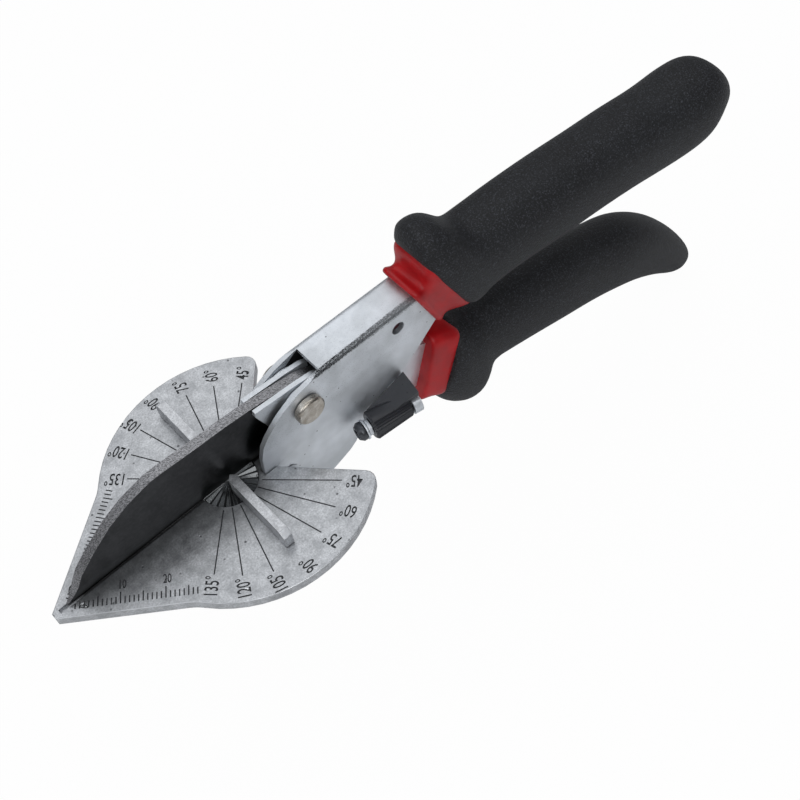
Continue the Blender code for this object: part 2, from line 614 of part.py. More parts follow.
def make_body(finish):
    """Folded steel body: cheeks, web and tang."""
    solid = prism(body_outline(), "Y", -BODY_HALF_WIDTH, BODY_HALF_WIDTH)
    bends = []
    for edge in solid.edges:
        a, b = (vert.co for vert in edge.verts)
        level = min(a.z, b.z) > UPPER_TANG_TOP_END - MM and min(a.x, b.x) > WEB_FRONT_X - MM
        if level and abs(a.y - b.y) < MM and abs(a.x - b.x) > MM:
            bends.append(edge)
    bmesh.ops.bevel(solid, geom=bends, offset=BODY_BEND_RADIUS, segments=4, profile=0.5, affect="EDGES")
    made = piece("body_channel", solid, finish)
    inner = BODY_HALF_WIDTH - BODY_SHEET
    low = -CHEEK_DEPTH - OVERRUN
    drop = BODY_SHEET
    beyond = UPPER_TANG_END_X + OVERRUN
    hollow = [(WEB_FRONT_X, low), (beyond, low), (beyond, UPPER_TANG_TOP_END - drop),
              (UPPER_TANG_END_X, UPPER_TANG_TOP_END - drop), (CHEEK_REAR_X, WEB_TOP - drop),
              (WEB_FRONT_X, WEB_TOP - drop)]
    combine(made, guide("body_hollow", prism(hollow, "Y", -inner, inner)), "DIFFERENCE")
    window = block((CHEEK_FOOT_X - OVERRUN, -inner, low),
                   (WEB_FRONT_X + REST_GAP, inner, WEB_TOP + OVERRUN))
    combine(made, guide("blade_window", window), "DIFFERENCE")
    reach = BODY_HALF_WIDTH + OVERRUN
    cut_hole(made, "pivot_hole", PIVOT_RADIUS + RUN_GAP, across(PIVOT_X, PIVOT_Z), -reach, reach, 32)
    cut_hole(made, "cheek_hole", CHEEK_HOLE_RADIUS, across(CHEEK_HOLE_X, CHEEK_HOLE_Z), -reach, 0, 20)
    for x, z in ANVIL_RIVET_PLACES:
        cut_hole(made, "cheek_rivet_hole", ANVIL_RIVET_RADIUS + RUN_GAP, across(x, z), -reach, reach, 16)
    return made


def make_pivot(nickel, steel):
    """Pivot rivet through cheeks, lever and blade, and the washers beside the lever."""
    seat = BODY_HALF_WIDTH + SLIDE_GAP
    head = seat + PIVOT_HEAD_THICKNESS
    rim = PIVOT_HEAD_THICKNESS / 4
    profile = ((0, -head), (PIVOT_HEAD_RADIUS - rim, -head), (PIVOT_HEAD_RADIUS, -head + rim),
               (PIVOT_HEAD_RADIUS, -seat), (PIVOT_RADIUS, -seat),
               (PIVOT_RADIUS, seat), (PIVOT_HEAD_RADIUS, seat),
               (PIVOT_HEAD_RADIUS, head - rim), (PIVOT_HEAD_RADIUS - rim, head), (0, head))
    made = [piece("pivot_rivet", turned(profile, 32, across(PIVOT_X, PIVOT_Z)), nickel)]
    outer = BODY_HALF_WIDTH - BODY_SHEET - SLIDE_GAP
    inner = neck_half_width() + SLIDE_GAP
    hole = PIVOT_RADIUS + RUN_GAP
    for side, name in ((-1, "near_pivot_washer"), (1, "far_pivot_washer")):
        low, high = sorted((side * inner, side * outer))
        washer = turned(((hole, low), (PIVOT_WASHER_RADIUS, low), (PIVOT_WASHER_RADIUS, high), (hole, high),
                         (hole, low)), 28, across(PIVOT_X, PIVOT_Z))
        made.append(ring_piece(name, washer, steel))
    return made


def neck_half_width():
    """Half the width over the lever's flanges where they grip the blade."""
    return BLADE_THICKNESS / 2 + SLIDE_GAP + LEVER_SHEET


def make_anvil_rivets(finish):
    """Two rivets through the cheeks and the anvil's root."""
    made = []
    seat = BODY_HALF_WIDTH + SLIDE_GAP
    head = seat + ANVIL_RIVET_HEAD_THICKNESS
    flat = ANVIL_RIVET_HEAD_RADIUS * ANVIL_RIVET_TOP_SHARE
    for k, (x, z) in enumerate(ANVIL_RIVET_PLACES):
        profile = ((0, -head), (flat, -head), (ANVIL_RIVET_HEAD_RADIUS, -seat),
                   (ANVIL_RIVET_RADIUS, -seat), (ANVIL_RIVET_RADIUS, seat), (ANVIL_RIVET_HEAD_RADIUS, seat),
                   (flat, head), (0, head))
        made.append(piece("anvil_rivet_%d" % (k + 1), turned(profile, 16, across(x, z)), finish))
    return made


def make_blade(finish):
    """Blade with a straight edge on the anvil and a hole for the pivot."""
    outline = [(BLADE_TIP_X + (BLADE_TANG_X - BLADE_TIP_X) * a, REST_GAP + BLADE_HEIGHT * b)
               for a, b in BLADE_SPINE_SHARES]
    outline.append((BLADE_HEEL_X, REST_GAP))
    outline.append((BLADE_TIP_X, REST_GAP))
    half = BLADE_THICKNESS / 2
    made = piece("blade", prism(outline, "Y", -half, half), finish)
    edge = BLADE_EDGE_THICKNESS / 2
    for side in (-1, 1):
        outside = side * (half + OVERRUN)
        top = REST_GAP + BLADE_BEVEL_HEIGHT
        ground = [(side * edge, REST_GAP), (side * half, top), (outside, top), (outside, -OVERRUN),
                  (side * edge, -OVERRUN)]
        bevel = prism(ground, "X", BLADE_TIP_X - OVERRUN, LEVER_NOSE_X)
        combine(made, guide("blade_bevel", bevel), "DIFFERENCE")
    cut_hole(made, "blade_pivot_hole", PIVOT_RADIUS + RUN_GAP, across(PIVOT_X, PIVOT_Z), -half - OVERRUN,
             half + OVERRUN, 32)
    for x, z in BLADE_PIN_PLACES:
        cut_hole(made, "blade_pin_hole", BLADE_PIN_RADIUS + RUN_GAP, across(x, z), -half - OVERRUN,
                 half + OVERRUN, 16)
    return made


def make_blade_pins(finish):
    """Pins that hold the blade between the lever's flanges, filed flush with them."""
    half = neck_half_width() - SLIDE_GAP / 2
    return [piece("blade_pin_%d" % (k + 1), pin(BLADE_PIN_RADIUS, -half, half, 16, across(x, z)), finish)
            for k, (x, z) in enumerate(BLADE_PIN_PLACES)]


def plan_outline(neck, channel, front, end):
    """The lever from above: narrow at the blade, wider in the channel."""
    side = [(front, neck), (LEVER_NECK_X, neck), (LEVER_CHANNEL_X, channel), (end, channel)]
    return side + [(x, -y) for x, y in reversed(side)]


def lock_frame():
    """The catch's own frame: X along its screw, Z up."""
    return Matrix.Translation((LOCK_X, LOCK_Y, LOCK_Z)) @ Matrix.Rotation(-LOCK_YAW, 4, "Z")


def lock_axis_frame():
    """The same place with Z along the screw, for turned pieces."""
    return lock_frame() @ Matrix.Rotation(math.pi / 2, 4, "Y")


def make_lever(finish):
    """Folded steel lever with the ear that carries the lock."""
    channel = BODY_HALF_WIDTH - BODY_SHEET - REST_GAP
    made = piece("lever", prism(lever_outline(), "Y", -channel, channel), finish)
    front = LEVER_NOSE_X - OVERRUN
    end = LOWER_TANG_END_X + OVERRUN
    tall = LOWER_TANG_DROP + LOWER_TANG_DROP
    outer = prism(plan_outline(neck_half_width(), channel + OVERRUN, front, end), "Z", -tall, tall)
    combine(made, guide("lever_outer", outer), "INTERSECT")
    slot = BLADE_THICKNESS / 2 + SLIDE_GAP
    inner = guide("lever_inner", prism(plan_outline(slot, channel - LEVER_SHEET, front - MM, end + MM), "Z",
                                       -tall, tall))
    under = []
    for x, z in lever_top_edge():
        if x >= LEVER_CHANNEL_X:
            under.append((x, z - LEVER_SHEET))
    last = under[-1]
    under.append((end + OVERRUN, last[1] - (end + OVERRUN - last[0]) / 2))
    shape = [(front - OVERRUN, tall), (LEVER_CHANNEL_X, tall)] + under
    shape += [(end + OVERRUN, -tall + MM), (front - OVERRUN, -tall + MM)]
    combine(inner, guide("lever_under_web", prism(shape, "Y", -channel - MM, channel + MM)), "INTERSECT")
    combine(made, inner, "DIFFERENCE")
    combine(made, guide("lock_ear_shape", lock_ear(channel)), "UNION")
    cut_hole(made, "lock_ear_hole", LOCK_SCREW_RADIUS + SLIDE_GAP, lock_axis_frame(), LOCK_LENGTH,
             LOCK_TAB_END + OVERRUN, 16)
    reach = channel + OVERRUN
    cut_hole(made, "lever_pivot_hole", PIVOT_RADIUS + RUN_GAP, across(PIVOT_X, PIVOT_Z), -reach, reach, 32)
    for x, z in BLADE_PIN_PLACES:
        cut_hole(made, "lever_pin_hole", BLADE_PIN_RADIUS + RUN_GAP, across(x, z), -reach, reach, 16)
    return made


def lock_ear(channel):
    """The ear bent out of the lever's near flange, square to the lock's screw, with a round end."""
    near = LOCK_LENGTH + REST_GAP
    axis_y = LOCK_Y - math.sin(LOCK_YAW) * (near + LOCK_TAB_THICKNESS / 2)
    root = -axis_y - (channel - LEVER_SHEET / 2)
    start = math.pi - math.asin(LOCK_TAB_TOP / LOCK_TAB_RADIUS)
    outline = arc((0, 0), LOCK_TAB_RADIUS, start, math.radians(270), 12)
    outline += [(root, -LOCK_TAB_RADIUS), (root, LOCK_TAB_TOP)]
    made = prism(outline, "X", near, LOCK_TAB_END)
    bmesh.ops.transform(made, matrix=lock_frame(), verts=made.verts)
    return made


def make_lock(plastic, steel):
    """Ribbed catch with its wing, on a screw with a washer and a bush."""
    rows = ((0, LOCK_RADIUS - LOCK_CHAMFER), (LOCK_CHAMFER, LOCK_RADIUS),
            (LOCK_LENGTH - LOCK_CHAMFER, LOCK_END_RADIUS), (LOCK_LENGTH, LOCK_END_RADIUS - LOCK_CHAMFER))
    barrel = loft([ribbed_ring(along, radius) for along, radius in rows])
    bmesh.ops.transform(barrel, matrix=lock_frame(), verts=barrel.verts)
    catch = piece("lock_catch", barrel, plastic)
    axis = lock_axis_frame()
    wing = guide("lock_wing_shape", lock_wing())
    room = LOCK_TAB_RADIUS + REST_GAP
    start = LOCK_LENGTH - REST_GAP
    cut_hole(wing, "ear_end_room", room, axis, start, LOCK_TAB_END + OVERRUN, 32)
    root = block((start - REST_GAP, LOCK_SCREW_RADIUS, -room),
                 (LOCK_TAB_END + OVERRUN, -LOCK_Y, LOCK_TAB_TOP + REST_GAP))
    bmesh.ops.transform(root, matrix=lock_frame(), verts=root.verts)
    combine(wing, guide("ear_root_room", root), "DIFFERENCE")
    combine(catch, wing, "UNION")
    cut_hole(catch, "lock_bore", LOCK_SCREW_RADIUS + SLIDE_GAP, axis, -OVERRUN, LOCK_LENGTH + OVERRUN, 16)
    bush_end = -SLIDE_GAP
    bush_start = bush_end - LOCK_BUSH_LENGTH
    hole = LOCK_SCREW_RADIUS + SLIDE_GAP
    bush = turned(((hole, bush_start), (LOCK_BUSH_RADIUS, bush_start), (LOCK_BUSH_RADIUS, bush_end),
                   (hole, bush_end), (hole, bush_start)), 20, axis)
    washer_end = bush_start - SLIDE_GAP
    washer_start = washer_end - LOCK_WASHER_THICKNESS
    washer = turned(((hole, washer_start), (LOCK_WASHER_RADIUS, washer_start),
                     (LOCK_WASHER_RADIUS, washer_end), (hole, washer_end), (hole, washer_start)), 24, axis)
    head_seat = washer_start - SLIDE_GAP
    head_top = head_seat - LOCK_SCREW_HEAD_THICKNESS
    screw = turned(((0, head_top), (LOCK_SCREW_HEAD_RADIUS * LOCK_SCREW_TOP_SHARE, head_top),
                    (LOCK_SCREW_HEAD_RADIUS, head_top + LOCK_SCREW_HEAD_THICKNESS / 2),
                    (LOCK_SCREW_HEAD_RADIUS, head_seat), (LOCK_SCREW_RADIUS, head_seat),
                    (LOCK_SCREW_RADIUS, LOCK_TAB_END), (0, LOCK_TAB_END)), 24, axis)
    made = [catch, ring_piece("lock_bush", bush, steel), ring_piece("lock_washer", washer, steel),
            piece("lock_screw", screw, steel)]
    for span, width in ((LOCK_RECESS_SPAN, LOCK_RECESS_WIDTH), (LOCK_RECESS_WIDTH, LOCK_RECESS_SPAN)):
        bar = block((-span, -width, head_top - OVERRUN), (span, width, head_top + LOCK_RECESS_DEPTH))
        bmesh.ops.transform(bar, matrix=axis, verts=bar.verts)
        combine(made[-1], guide("screw_recess", bar), "DIFFERENCE")
    return made


def ribbed_ring(along, radius):
    """One ring of the catch's barrel: ribbed on the side that the thumb meets."""
    ring = []
    for k in range(LOCK_STEP_COUNT):
        turn = math.tau * k / LOCK_STEP_COUNT
        low = k % 2 and LOCK_RIB_START < turn < LOCK_RIB_END
        reach = radius - LOCK_RIB_DEPTH if low else radius
        ring.append(Vector((along, -reach * math.sin(turn), reach * math.cos(turn))))
    return ring


def lock_wing():
    """The catch's wing: a wedge between the barrel and the cheek, highest where it ends over the ear."""
    made = bmesh.new()
    clear = BODY_HALF_WIDTH + REST_GAP * 2
    axis_x = math.cos(LOCK_YAW)
    places = []
    for along, rise in ((LOCK_WING_FRONT, LOCK_WING_FRONT_HEIGHT), (LOCK_TAB_END, LOCK_WING_HEIGHT)):
        inner = (-clear - LOCK_Y + along * math.sin(LOCK_YAW)) / axis_x
        for level in (-LOCK_CHAMFER, rise):
            places.append((along, inner, level))
            places.append((along, -LOCK_WING_OUTER, level))
    for place in places:
        made.verts.new(place)
    bmesh.ops.convex_hull(made, input=made.verts)
    bmesh.ops.transform(made, matrix=lock_frame(), verts=made.verts)
    return made


def make_spring(finish):
    """Compression spring as one tube along a helix."""
    low = LEVER_SEAT_Z + REST_GAP + SPRING_WIRE_RADIUS
    high = WEB_TOP - BODY_SHEET - REST_GAP - SPRING_WIRE_RADIUS
    count = SPRING_TURNS * SPRING_POINTS_PER_TURN
    points = []
    for k in range(count + 1):
        turn = math.tau * k / SPRING_POINTS_PER_TURN
        points.append(Vector((LEVER_SEAT_X + SPRING_RADIUS * math.cos(turn), SPRING_RADIUS * math.sin(turn),
                              low + (high - low) * k / count)))
    gap = min((a - b).length for i, a in enumerate(points)
              for b in points[i + SPRING_POINTS_PER_TURN // 2:]) - 2 * SPRING_WIRE_RADIUS
    print("least gap between the spring's turns, mm: %.2f" % (gap / MM))
    curve = bpy.data.curves.new("return_spring", "CURVE")
    curve.dimensions = "3D"
    curve.bevel_depth = SPRING_WIRE_RADIUS
    curve.bevel_resolution = 1
    curve.use_fill_caps = True
    spline = curve.splines.new("POLY")
    spline.points.add(len(points) - 1)
    for spot, point in zip(spline.points, points):
        spot.co = (*point, 1.0)
    curve.materials.append(finish)
    made = bpy.data.objects.new("return_spring", curve)
    bpy.context.collection.objects.link(made)
    return made


def upper_tang_room():
    """The pocket for the body's tang in the upper sleeve."""
    half = BODY_HALF_WIDTH + SLIDE_GAP
    return prism(upper_tang_space(SLIDE_GAP), "Y", -half, half)


def lower_tang_room():
    """The pocket for the lever's tang in the lower sleeve, open at the front."""
    top = [(x, z + SLIDE_GAP) for x, z in lower_tang_top()]
    bottom = [(x, z - SLIDE_GAP) for x, z in lower_tang_bottom()]
    top[-1] = (top[-1][0] + SLIDE_GAP, top[-1][1])
    bottom[0] = (bottom[0][0] + SLIDE_GAP, bottom[0][1])
    front = [(LEVER_SEAT_X, -LEVER_TANG_DROP - SLIDE_GAP), (LEVER_SEAT_X, LEVER_SEAT_Z)]
    half = BODY_HALF_WIDTH - BODY_SHEET - REST_GAP + SLIDE_GAP
    return prism(top + bottom + front, "Y", -half, half)


def make_handle(name, place, rows, room, red, dark):
    """A red sleeve on a tang and the dark grip over the sleeve."""
    collar_rows, core_rows, grip_rows = rows
    sleeve_size = (SLEEVE_HALF_WIDTH, SLEEVE_HALF_HEIGHT, SLEEVE_SECTION_POWER)
    sleeve = piece(name + "_sleeve", loft(handle_rings(collar_rows + core_rows, place, *sleeve_size)), red)
    combine(sleeve, guide(name + "_tang_space", room), "DIFFERENCE")
    rings = handle_rings(grip_rows, place, GRIP_HALF_WIDTH, GRIP_HALF_HEIGHT, GRIP_SECTION_POWER)
    grip = piece(name + "_grip", loft(rings), dark)
    inside = handle_rings(core_rows, place, *sleeve_size, SLIDE_GAP)
    lead = [point - Vector((OVERRUN, 0, 0)) for point in inside[0]]
    last = [point + Vector((SLIDE_GAP, 0, 0)) for point in inside[-1]]
    combine(grip, guide(name + "_sleeve_space", loft([lead] + inside[:-1] + [last])), "DIFFERENCE")
    return [sleeve, grip]


def empty(name, place, parent=None):
    """An empty at a place given from the protractor's centre."""
    made = bpy.data.objects.new(name, None)
    bpy.context.collection.objects.link(made)
    made.parent = parent
    made.location = Vector(place) - (Vector(parent["place"]) if parent else Vector())
    made["place"] = list(place) if parent else [0.0, 0.0, 0.0]
    return made


def attach(made, holder):
    """Give a piece its origin at an empty and hang it there."""
    place = Vector(holder["place"])
    made.data.transform(Matrix.Translation(-place))
    made.parent = holder


def build():
    """Build the whole tool."""
    for old in list(bpy.data.objects):
        bpy.data.objects.remove(old)
    zinc = material("cast_zinc", (0.36, 0.37, 0.38), 0.5, 0.9)
    steel = material("plated_steel", (0.62, 0.65, 0.69), 0.28, 1.0)
    nickel = material("nickel_rivet", (0.66, 0.62, 0.56), 0.3, 1.0)
    dark_steel = material("polished_blade_steel", (0.10, 0.10, 0.10), 0.35, 0.9)
    spring_steel = material("spring_steel", (0.25, 0.25, 0.26), 0.35, 1.0)
    plastic = material("black_nylon", (0.012, 0.012, 0.013), 0.45)
    red = material("red_sleeve_plastic", (0.42, 0.025, 0.03), 0.4)
    dark = material("black_grip_rubber", (0.014, 0.015, 0.016), 0.75)

    centre = empty("protractor_centre", (CENTRE_X, 0, CENTRE_Z))
    lever_axis = empty("lever_axis", (PIVOT_X, 0, PIVOT_Z), centre)
    lock_axis = empty("lock_axis", (LOCK_X, LOCK_Y, LOCK_Z), lever_axis)

    make_body(steel)
    make_anvil(zinc)
    make_pivot(nickel, steel)
    make_anvil_rivets(steel)
    make_spring(spring_steel)
    make_fence(zinc)
    make_fence_fasteners(steel, spring_steel)
    moving = [make_blade(dark_steel)] + make_blade_pins(steel) + [make_lever(steel)]
    catch, *lock_metal = make_lock(plastic, steel)
    moving += lock_metal
    make_handle("upper", (UPPER_GRIP_X, UPPER_GRIP_Z, UPPER_GRIP_LENGTH, UPPER_DROP),
                (UPPER_COLLAR_ROW_SHARES, UPPER_CORE_ROW_SHARES, UPPER_GRIP_ROW_SHARES),
                upper_tang_room(), red, dark)
    moving += make_handle("lower", (LOWER_GRIP_X, LOWER_GRIP_Z, LOWER_GRIP_LENGTH, LOWER_DROP),
                          (LOWER_COLLAR_ROW_SHARES, LOWER_CORE_ROW_SHARES, LOWER_GRIP_ROW_SHARES),
                          lower_tang_room(), red, dark)
    for made in moving:
        attach(made, lever_axis)
    attach(catch, lock_axis)
    for made in list(bpy.data.objects):
        if made.type != "EMPTY" and made.parent is None:
            attach(made, centre)


build()
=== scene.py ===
"""Dresses a pair of mitre shears: engraved anvil, ground blade, folded steel, soft grips and lock."""
import math

import bmesh
import bpy
from mathutils import Matrix, Vector


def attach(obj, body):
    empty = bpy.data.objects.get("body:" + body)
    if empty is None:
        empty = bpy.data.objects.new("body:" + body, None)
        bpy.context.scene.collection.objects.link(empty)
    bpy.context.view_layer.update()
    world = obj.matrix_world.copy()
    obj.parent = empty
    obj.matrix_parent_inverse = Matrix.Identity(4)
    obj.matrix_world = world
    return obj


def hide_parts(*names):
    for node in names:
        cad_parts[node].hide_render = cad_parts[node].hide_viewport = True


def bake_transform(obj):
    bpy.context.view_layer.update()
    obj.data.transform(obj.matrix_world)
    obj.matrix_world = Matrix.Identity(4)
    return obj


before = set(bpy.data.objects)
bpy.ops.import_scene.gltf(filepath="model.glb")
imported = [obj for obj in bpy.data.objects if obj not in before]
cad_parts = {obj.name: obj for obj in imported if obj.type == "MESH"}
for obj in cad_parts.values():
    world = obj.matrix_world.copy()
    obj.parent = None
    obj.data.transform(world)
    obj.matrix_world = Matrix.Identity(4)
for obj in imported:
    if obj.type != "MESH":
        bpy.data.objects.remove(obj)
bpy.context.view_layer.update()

bl_info = {
    "name": "Mitre Shears Dressing",
    "version": (1, 0, 0),
    "blender": (4, 5, 0),
    "location": "3D View > Sidebar > Shears",
    "description": "Builds the shown pieces and finishes of a pair of mitre shears",
    "category": "Object",
}

MM = 0.001

# The middle of the protractor, on the face of the anvil, in the row frame
CENTRE = Vector((-58.88 * MM, 0.0, 63.37 * MM))


class SHEARS_PG_sizes(bpy.types.PropertyGroup):
    """Sizes that a user would change."""
    engraving_depth: bpy.props.FloatProperty(
        name="Engraving Depth", description="How deep the marks are stamped in the anvil",
        default=0.3 * MM, min=0.05 * MM, max=1.0 * MM, unit="LENGTH")
    letter_height: bpy.props.FloatProperty(
        name="Angle Number Height", description="Height of the degree numbers",
        default=3.1 * MM, min=1.0 * MM, max=5.0 * MM, unit="LENGTH")
    ruler_number_height: bpy.props.FloatProperty(
        name="Ruler Number Height", description="Height of the millimetre numbers",
        default=2.2 * MM, min=1.0 * MM, max=4.0 * MM, unit="LENGTH")
    steel_edge: bpy.props.FloatProperty(
        name="Steel Edge Radius", description="Rounding along the edges of the folded steel",
        default=0.22 * MM, min=0.05 * MM, max=0.5 * MM, unit="LENGTH")
    grip_smoothness: bpy.props.IntProperty(
        name="Grip Smoothness", description="Subdivision levels of the grips and collars",
        default=1, min=1, max=3)


class SHEARS_PG_colours(bpy.types.PropertyGroup):
    """Colours that a user would change, as sRGB hex values."""
    zinc: bpy.props.StringProperty(
        name="Zinc", description="Blasted zinc of the anvil", default="c5c7ca")
    # The engraving colour is painted shade: it darkens the stamped marks' floors and sides
    engraving_shade: bpy.props.StringProperty(
        name="Engraving", description="Dark of the stamped marks", default="4c4d4f")
    plate: bpy.props.StringProperty(
        name="Plated Steel", description="Zinc-plated sheet steel", default="dce0e5")
    blade: bpy.props.StringProperty(
        name="Blade", description="Polished blade steel", default="3f3f40")
    red: bpy.props.StringProperty(
        name="Collar Red", description="Moulded red of the collars", default="b01218")
    grip: bpy.props.StringProperty(
        name="Grip Black", description="Moulded black of the grips", default="191a1c")


def settings():
    """The two groups of settings."""
    return bpy.context.scene.shears_sizes, bpy.context.scene.shears_colours


def colour(value):
    """An sRGB hex value as the linear colour that a shader takes."""
    channels = [int(value[k:k + 2], 16) / 255 for k in (0, 2, 4)]
    return (*[c / 12.92 if c <= 0.04045 else ((c + 0.055) / 1.055) ** 2.4 for c in channels], 1.0)


def shade(value, share):
    """The same hex colour, lighter or darker by a share."""
    channels = [min(255, round(int(value[k:k + 2], 16) * share)) for k in (0, 2, 4)]
    return "%02x%02x%02x" % tuple(channels)


def add_node(tree, kind, links=None, inputs=None, **values):
    """Add a node with its settings, its inputs' values and its links."""
    made = tree.nodes.new(kind)
    for name, value in values.items():
        setattr(made, name, value)
    for name, value in (inputs or {}).items():
        made.inputs[name].default_value = value
    for name, source in (links or {}).items():
        tree.links.new(source, made.inputs[name])
    return made


def new_material(name, base, roughness, metallic=0.0):
    """A material with its shader and the object's own coordinates."""
    made = bpy.data.materials.new(name)
    made.use_nodes = True
    tree = made.node_tree
    shader = tree.nodes["Principled BSDF"]
    shader.inputs["Base Color"].default_value = colour(base)
    shader.inputs["Roughness"].default_value = roughness
    shader.inputs["Metallic"].default_value = metallic
    place = add_node(tree, "ShaderNodeTexCoord").outputs["Object"]
    return made, tree, shader, place


def maths(tree, operation, first, second=None):
    """One value worked out from one or two others, each a socket or a number."""
    made = add_node(tree, "ShaderNodeMath", operation=operation)
    for slot, value in enumerate((first, second)):
        if isinstance(value, bpy.types.NodeSocket):
            tree.links.new(value, made.inputs[slot])
        elif value is not None:
            made.inputs[slot].default_value = value
    return made.outputs["Value"]


def axes_of(tree, vector):
    """The X, Y and Z of a vector."""
    return add_node(tree, "ShaderNodeSeparateXYZ", {"Vector": vector}).outputs


def facing(tree):
    """The X, Y and Z of the surface's direction."""
    return axes_of(tree, add_node(tree, "ShaderNodeNewGeometry").outputs["Normal"])


def drawn_out(tree, place, turn, stretch):
    """Coordinates that are turned and then stretched, for patterns that run one way."""
    turned = add_node(tree, "ShaderNodeMapping", {"Vector": place}, {"Rotation": turn}).outputs["Vector"]
    return add_node(tree, "ShaderNodeMapping", {"Vector": turned}, {"Scale": stretch}).outputs["Vector"]


def noise(tree, place, size, detail=3.0, roughness=0.55):
    """Mottling whose blotches are about the given size."""
    made = add_node(tree, "ShaderNodeTexNoise", {"Vector": place},
                    {"Scale": 1 / size, "Detail": detail, "Roughness": roughness})
    return made.outputs["Fac"]


def cells(tree, place, spacing, feature="F1"):
    """The distance from the middles of irregular cells, which are spaced by the given size."""
    made = add_node(tree, "ShaderNodeTexVoronoi", {"Vector": place}, {"Scale": 1 / spacing}, feature=feature)
    return made.outputs["Distance"]


def ramp(tree, source, low, high, start, end):
    """Turn a pattern's range into a range of values."""
    return add_node(tree, "ShaderNodeMapRange", {"Value": source},
                    {"From Min": low, "From Max": high, "To Min": start, "To Max": end},
                    clamp=True).outputs["Result"]


def mixed(tree, factor, first, second):
    """Mix two colours, each a hex value or a socket."""
    made = add_node(tree, "ShaderNodeMix", {"Factor": factor}, data_type="RGBA")
    for name, value in (("A", first), ("B", second)):
        socket = [s for s in made.inputs if s.name == name and s.type == "RGBA"][0]
        if isinstance(value, str):
            socket.default_value = colour(value)
        else:
            tree.links.new(value, socket)
    return [s for s in made.outputs if s.type == "RGBA"][0]


def bump(tree, shader, height, strength, distance, under=None):
    """Raise the surface by a pattern."""
    links = {"Height": height}
    if under:
        links["Normal"] = under
    made = add_node(tree, "ShaderNodeBump", links, {"Strength": strength, "Distance": distance})
    tree.links.new(made.outputs["Normal"], shader.inputs["Normal"])
    return made.outputs["Normal"]


def blasted_zinc(name="blasted_zinc", hub=False):
    """Die-cast zinc alloy, tumbled and blasted: mottled grey, with a fine tooth and pits, and a painted
    highlight on the sloping faces of its rounded edges.

    On the anvil the groove is painted dark, as painted shade in it, and the metal beside the groove is
    painted darker, as painted shade and reflection of the blade. On the fence, which is a little brighter,
    the hub's flutes are polished and painted dark, as painted shade in them.
    """
    base = settings()[1].zinc
    if hub:
        base = shade(base, 1.06)
    made, tree, shader, place = new_material(name, base, 0.44, 0.94)
    cloud = noise(tree, place, 3.2 * MM, 4.0, 0.65)
    grain = noise(tree, place, 0.42 * MM, 2.0)
    pit = ramp(tree, cells(tree, place, 3.4 * MM), 0.05, 0.10, 0.0, 1.0)
    tone = mixed(tree, ramp(tree, cloud, 0.34, 0.66, 0.0, 1.0), shade(base, 0.84), shade(base, 1.08))
    tone = mixed(tree, ramp(tree, grain, 0.32, 0.66, 0.5, 0.0), tone, shade(base, 0.66))
    tone = mixed(tree, pit, shade(base, 0.6), tone)
    up = facing(tree)["Z"]
    # Painted highlight: faces that slope between flat and upright, as on the rounded rim, are painted
    # lighter
    sloping = ramp(tree, up, 0.90, 0.98, 1.0, 0.0)
    rim_highlight = maths(tree, "MULTIPLY", sloping, ramp(tree, up, 0.15, 0.35, 0.0, 1.0))
    tone = mixed(tree, rim_highlight, tone, shade(base, 1.12))
    polish = ramp(tree, cloud, 0.3, 0.7, 0.33, 0.44)
    axes = axes_of(tree, place)
    if hub:
        low = ramp(tree, axes["Z"], CENTRE.z - 0.1 * MM, CENTRE.z + 0.2 * MM, 1.0, 0.0)
        # Painted shade: the hub's flutes, sunk below the anvil's face, are painted dark; they are also
        # polished
        tone = mixed(tree, low, tone, shade(base, 0.5))
        polish = add_node(tree, "ShaderNodeMapRange", {"Value": low, "To Min": polish}, {"To Max": 0.24})
        polish = polish.outputs["Result"]
    else:
        across = maths(tree, "ABSOLUTE", axes["Y"])
        behind_tip = ramp(tree, axes["X"], CENTRE.x - 44.0 * MM, CENTRE.x - 40.0 * MM, 0.0, 1.0)
        # Painted shade and reflection of the blade on the metal beside the groove, and painted shade in the
        # groove itself
        for near, far, share, dark in ((0.6 * MM, 11.0 * MM, 0.5, 0.5), (0.5 * MM, 0.9 * MM, 0.95, 0.12)):
            darkened = maths(tree, "MULTIPLY", ramp(tree, across, near, far, share, 0.0), behind_tip)
            tone = mixed(tree, darkened, tone, shade(base, dark))
    tree.links.new(tone, shader.inputs["Base Color"])
    tree.links.new(polish, shader.inputs["Roughness"])
    under = bump(tree, shader, grain, 0.35, 0.09 * MM)
    bump(tree, shader, pit, 0.5, 0.10 * MM, under)
    return made


def stamped_mark():
    """The floor and sides of the stamped marks: matt, and painted darker as painted shade in the recesses.
    """
    base = settings()[1].engraving_shade
    made, tree, shader, place = new_material("stamped_mark", base, 0.75, 0.3)
    grain = ramp(tree, noise(tree, place, 0.5 * MM), 0.3, 0.7, 0.0, 1.0)
    tree.links.new(mixed(tree, grain, shade(base, 0.7), shade(base, 1.2)), shader.inputs["Base Color"])
    return made


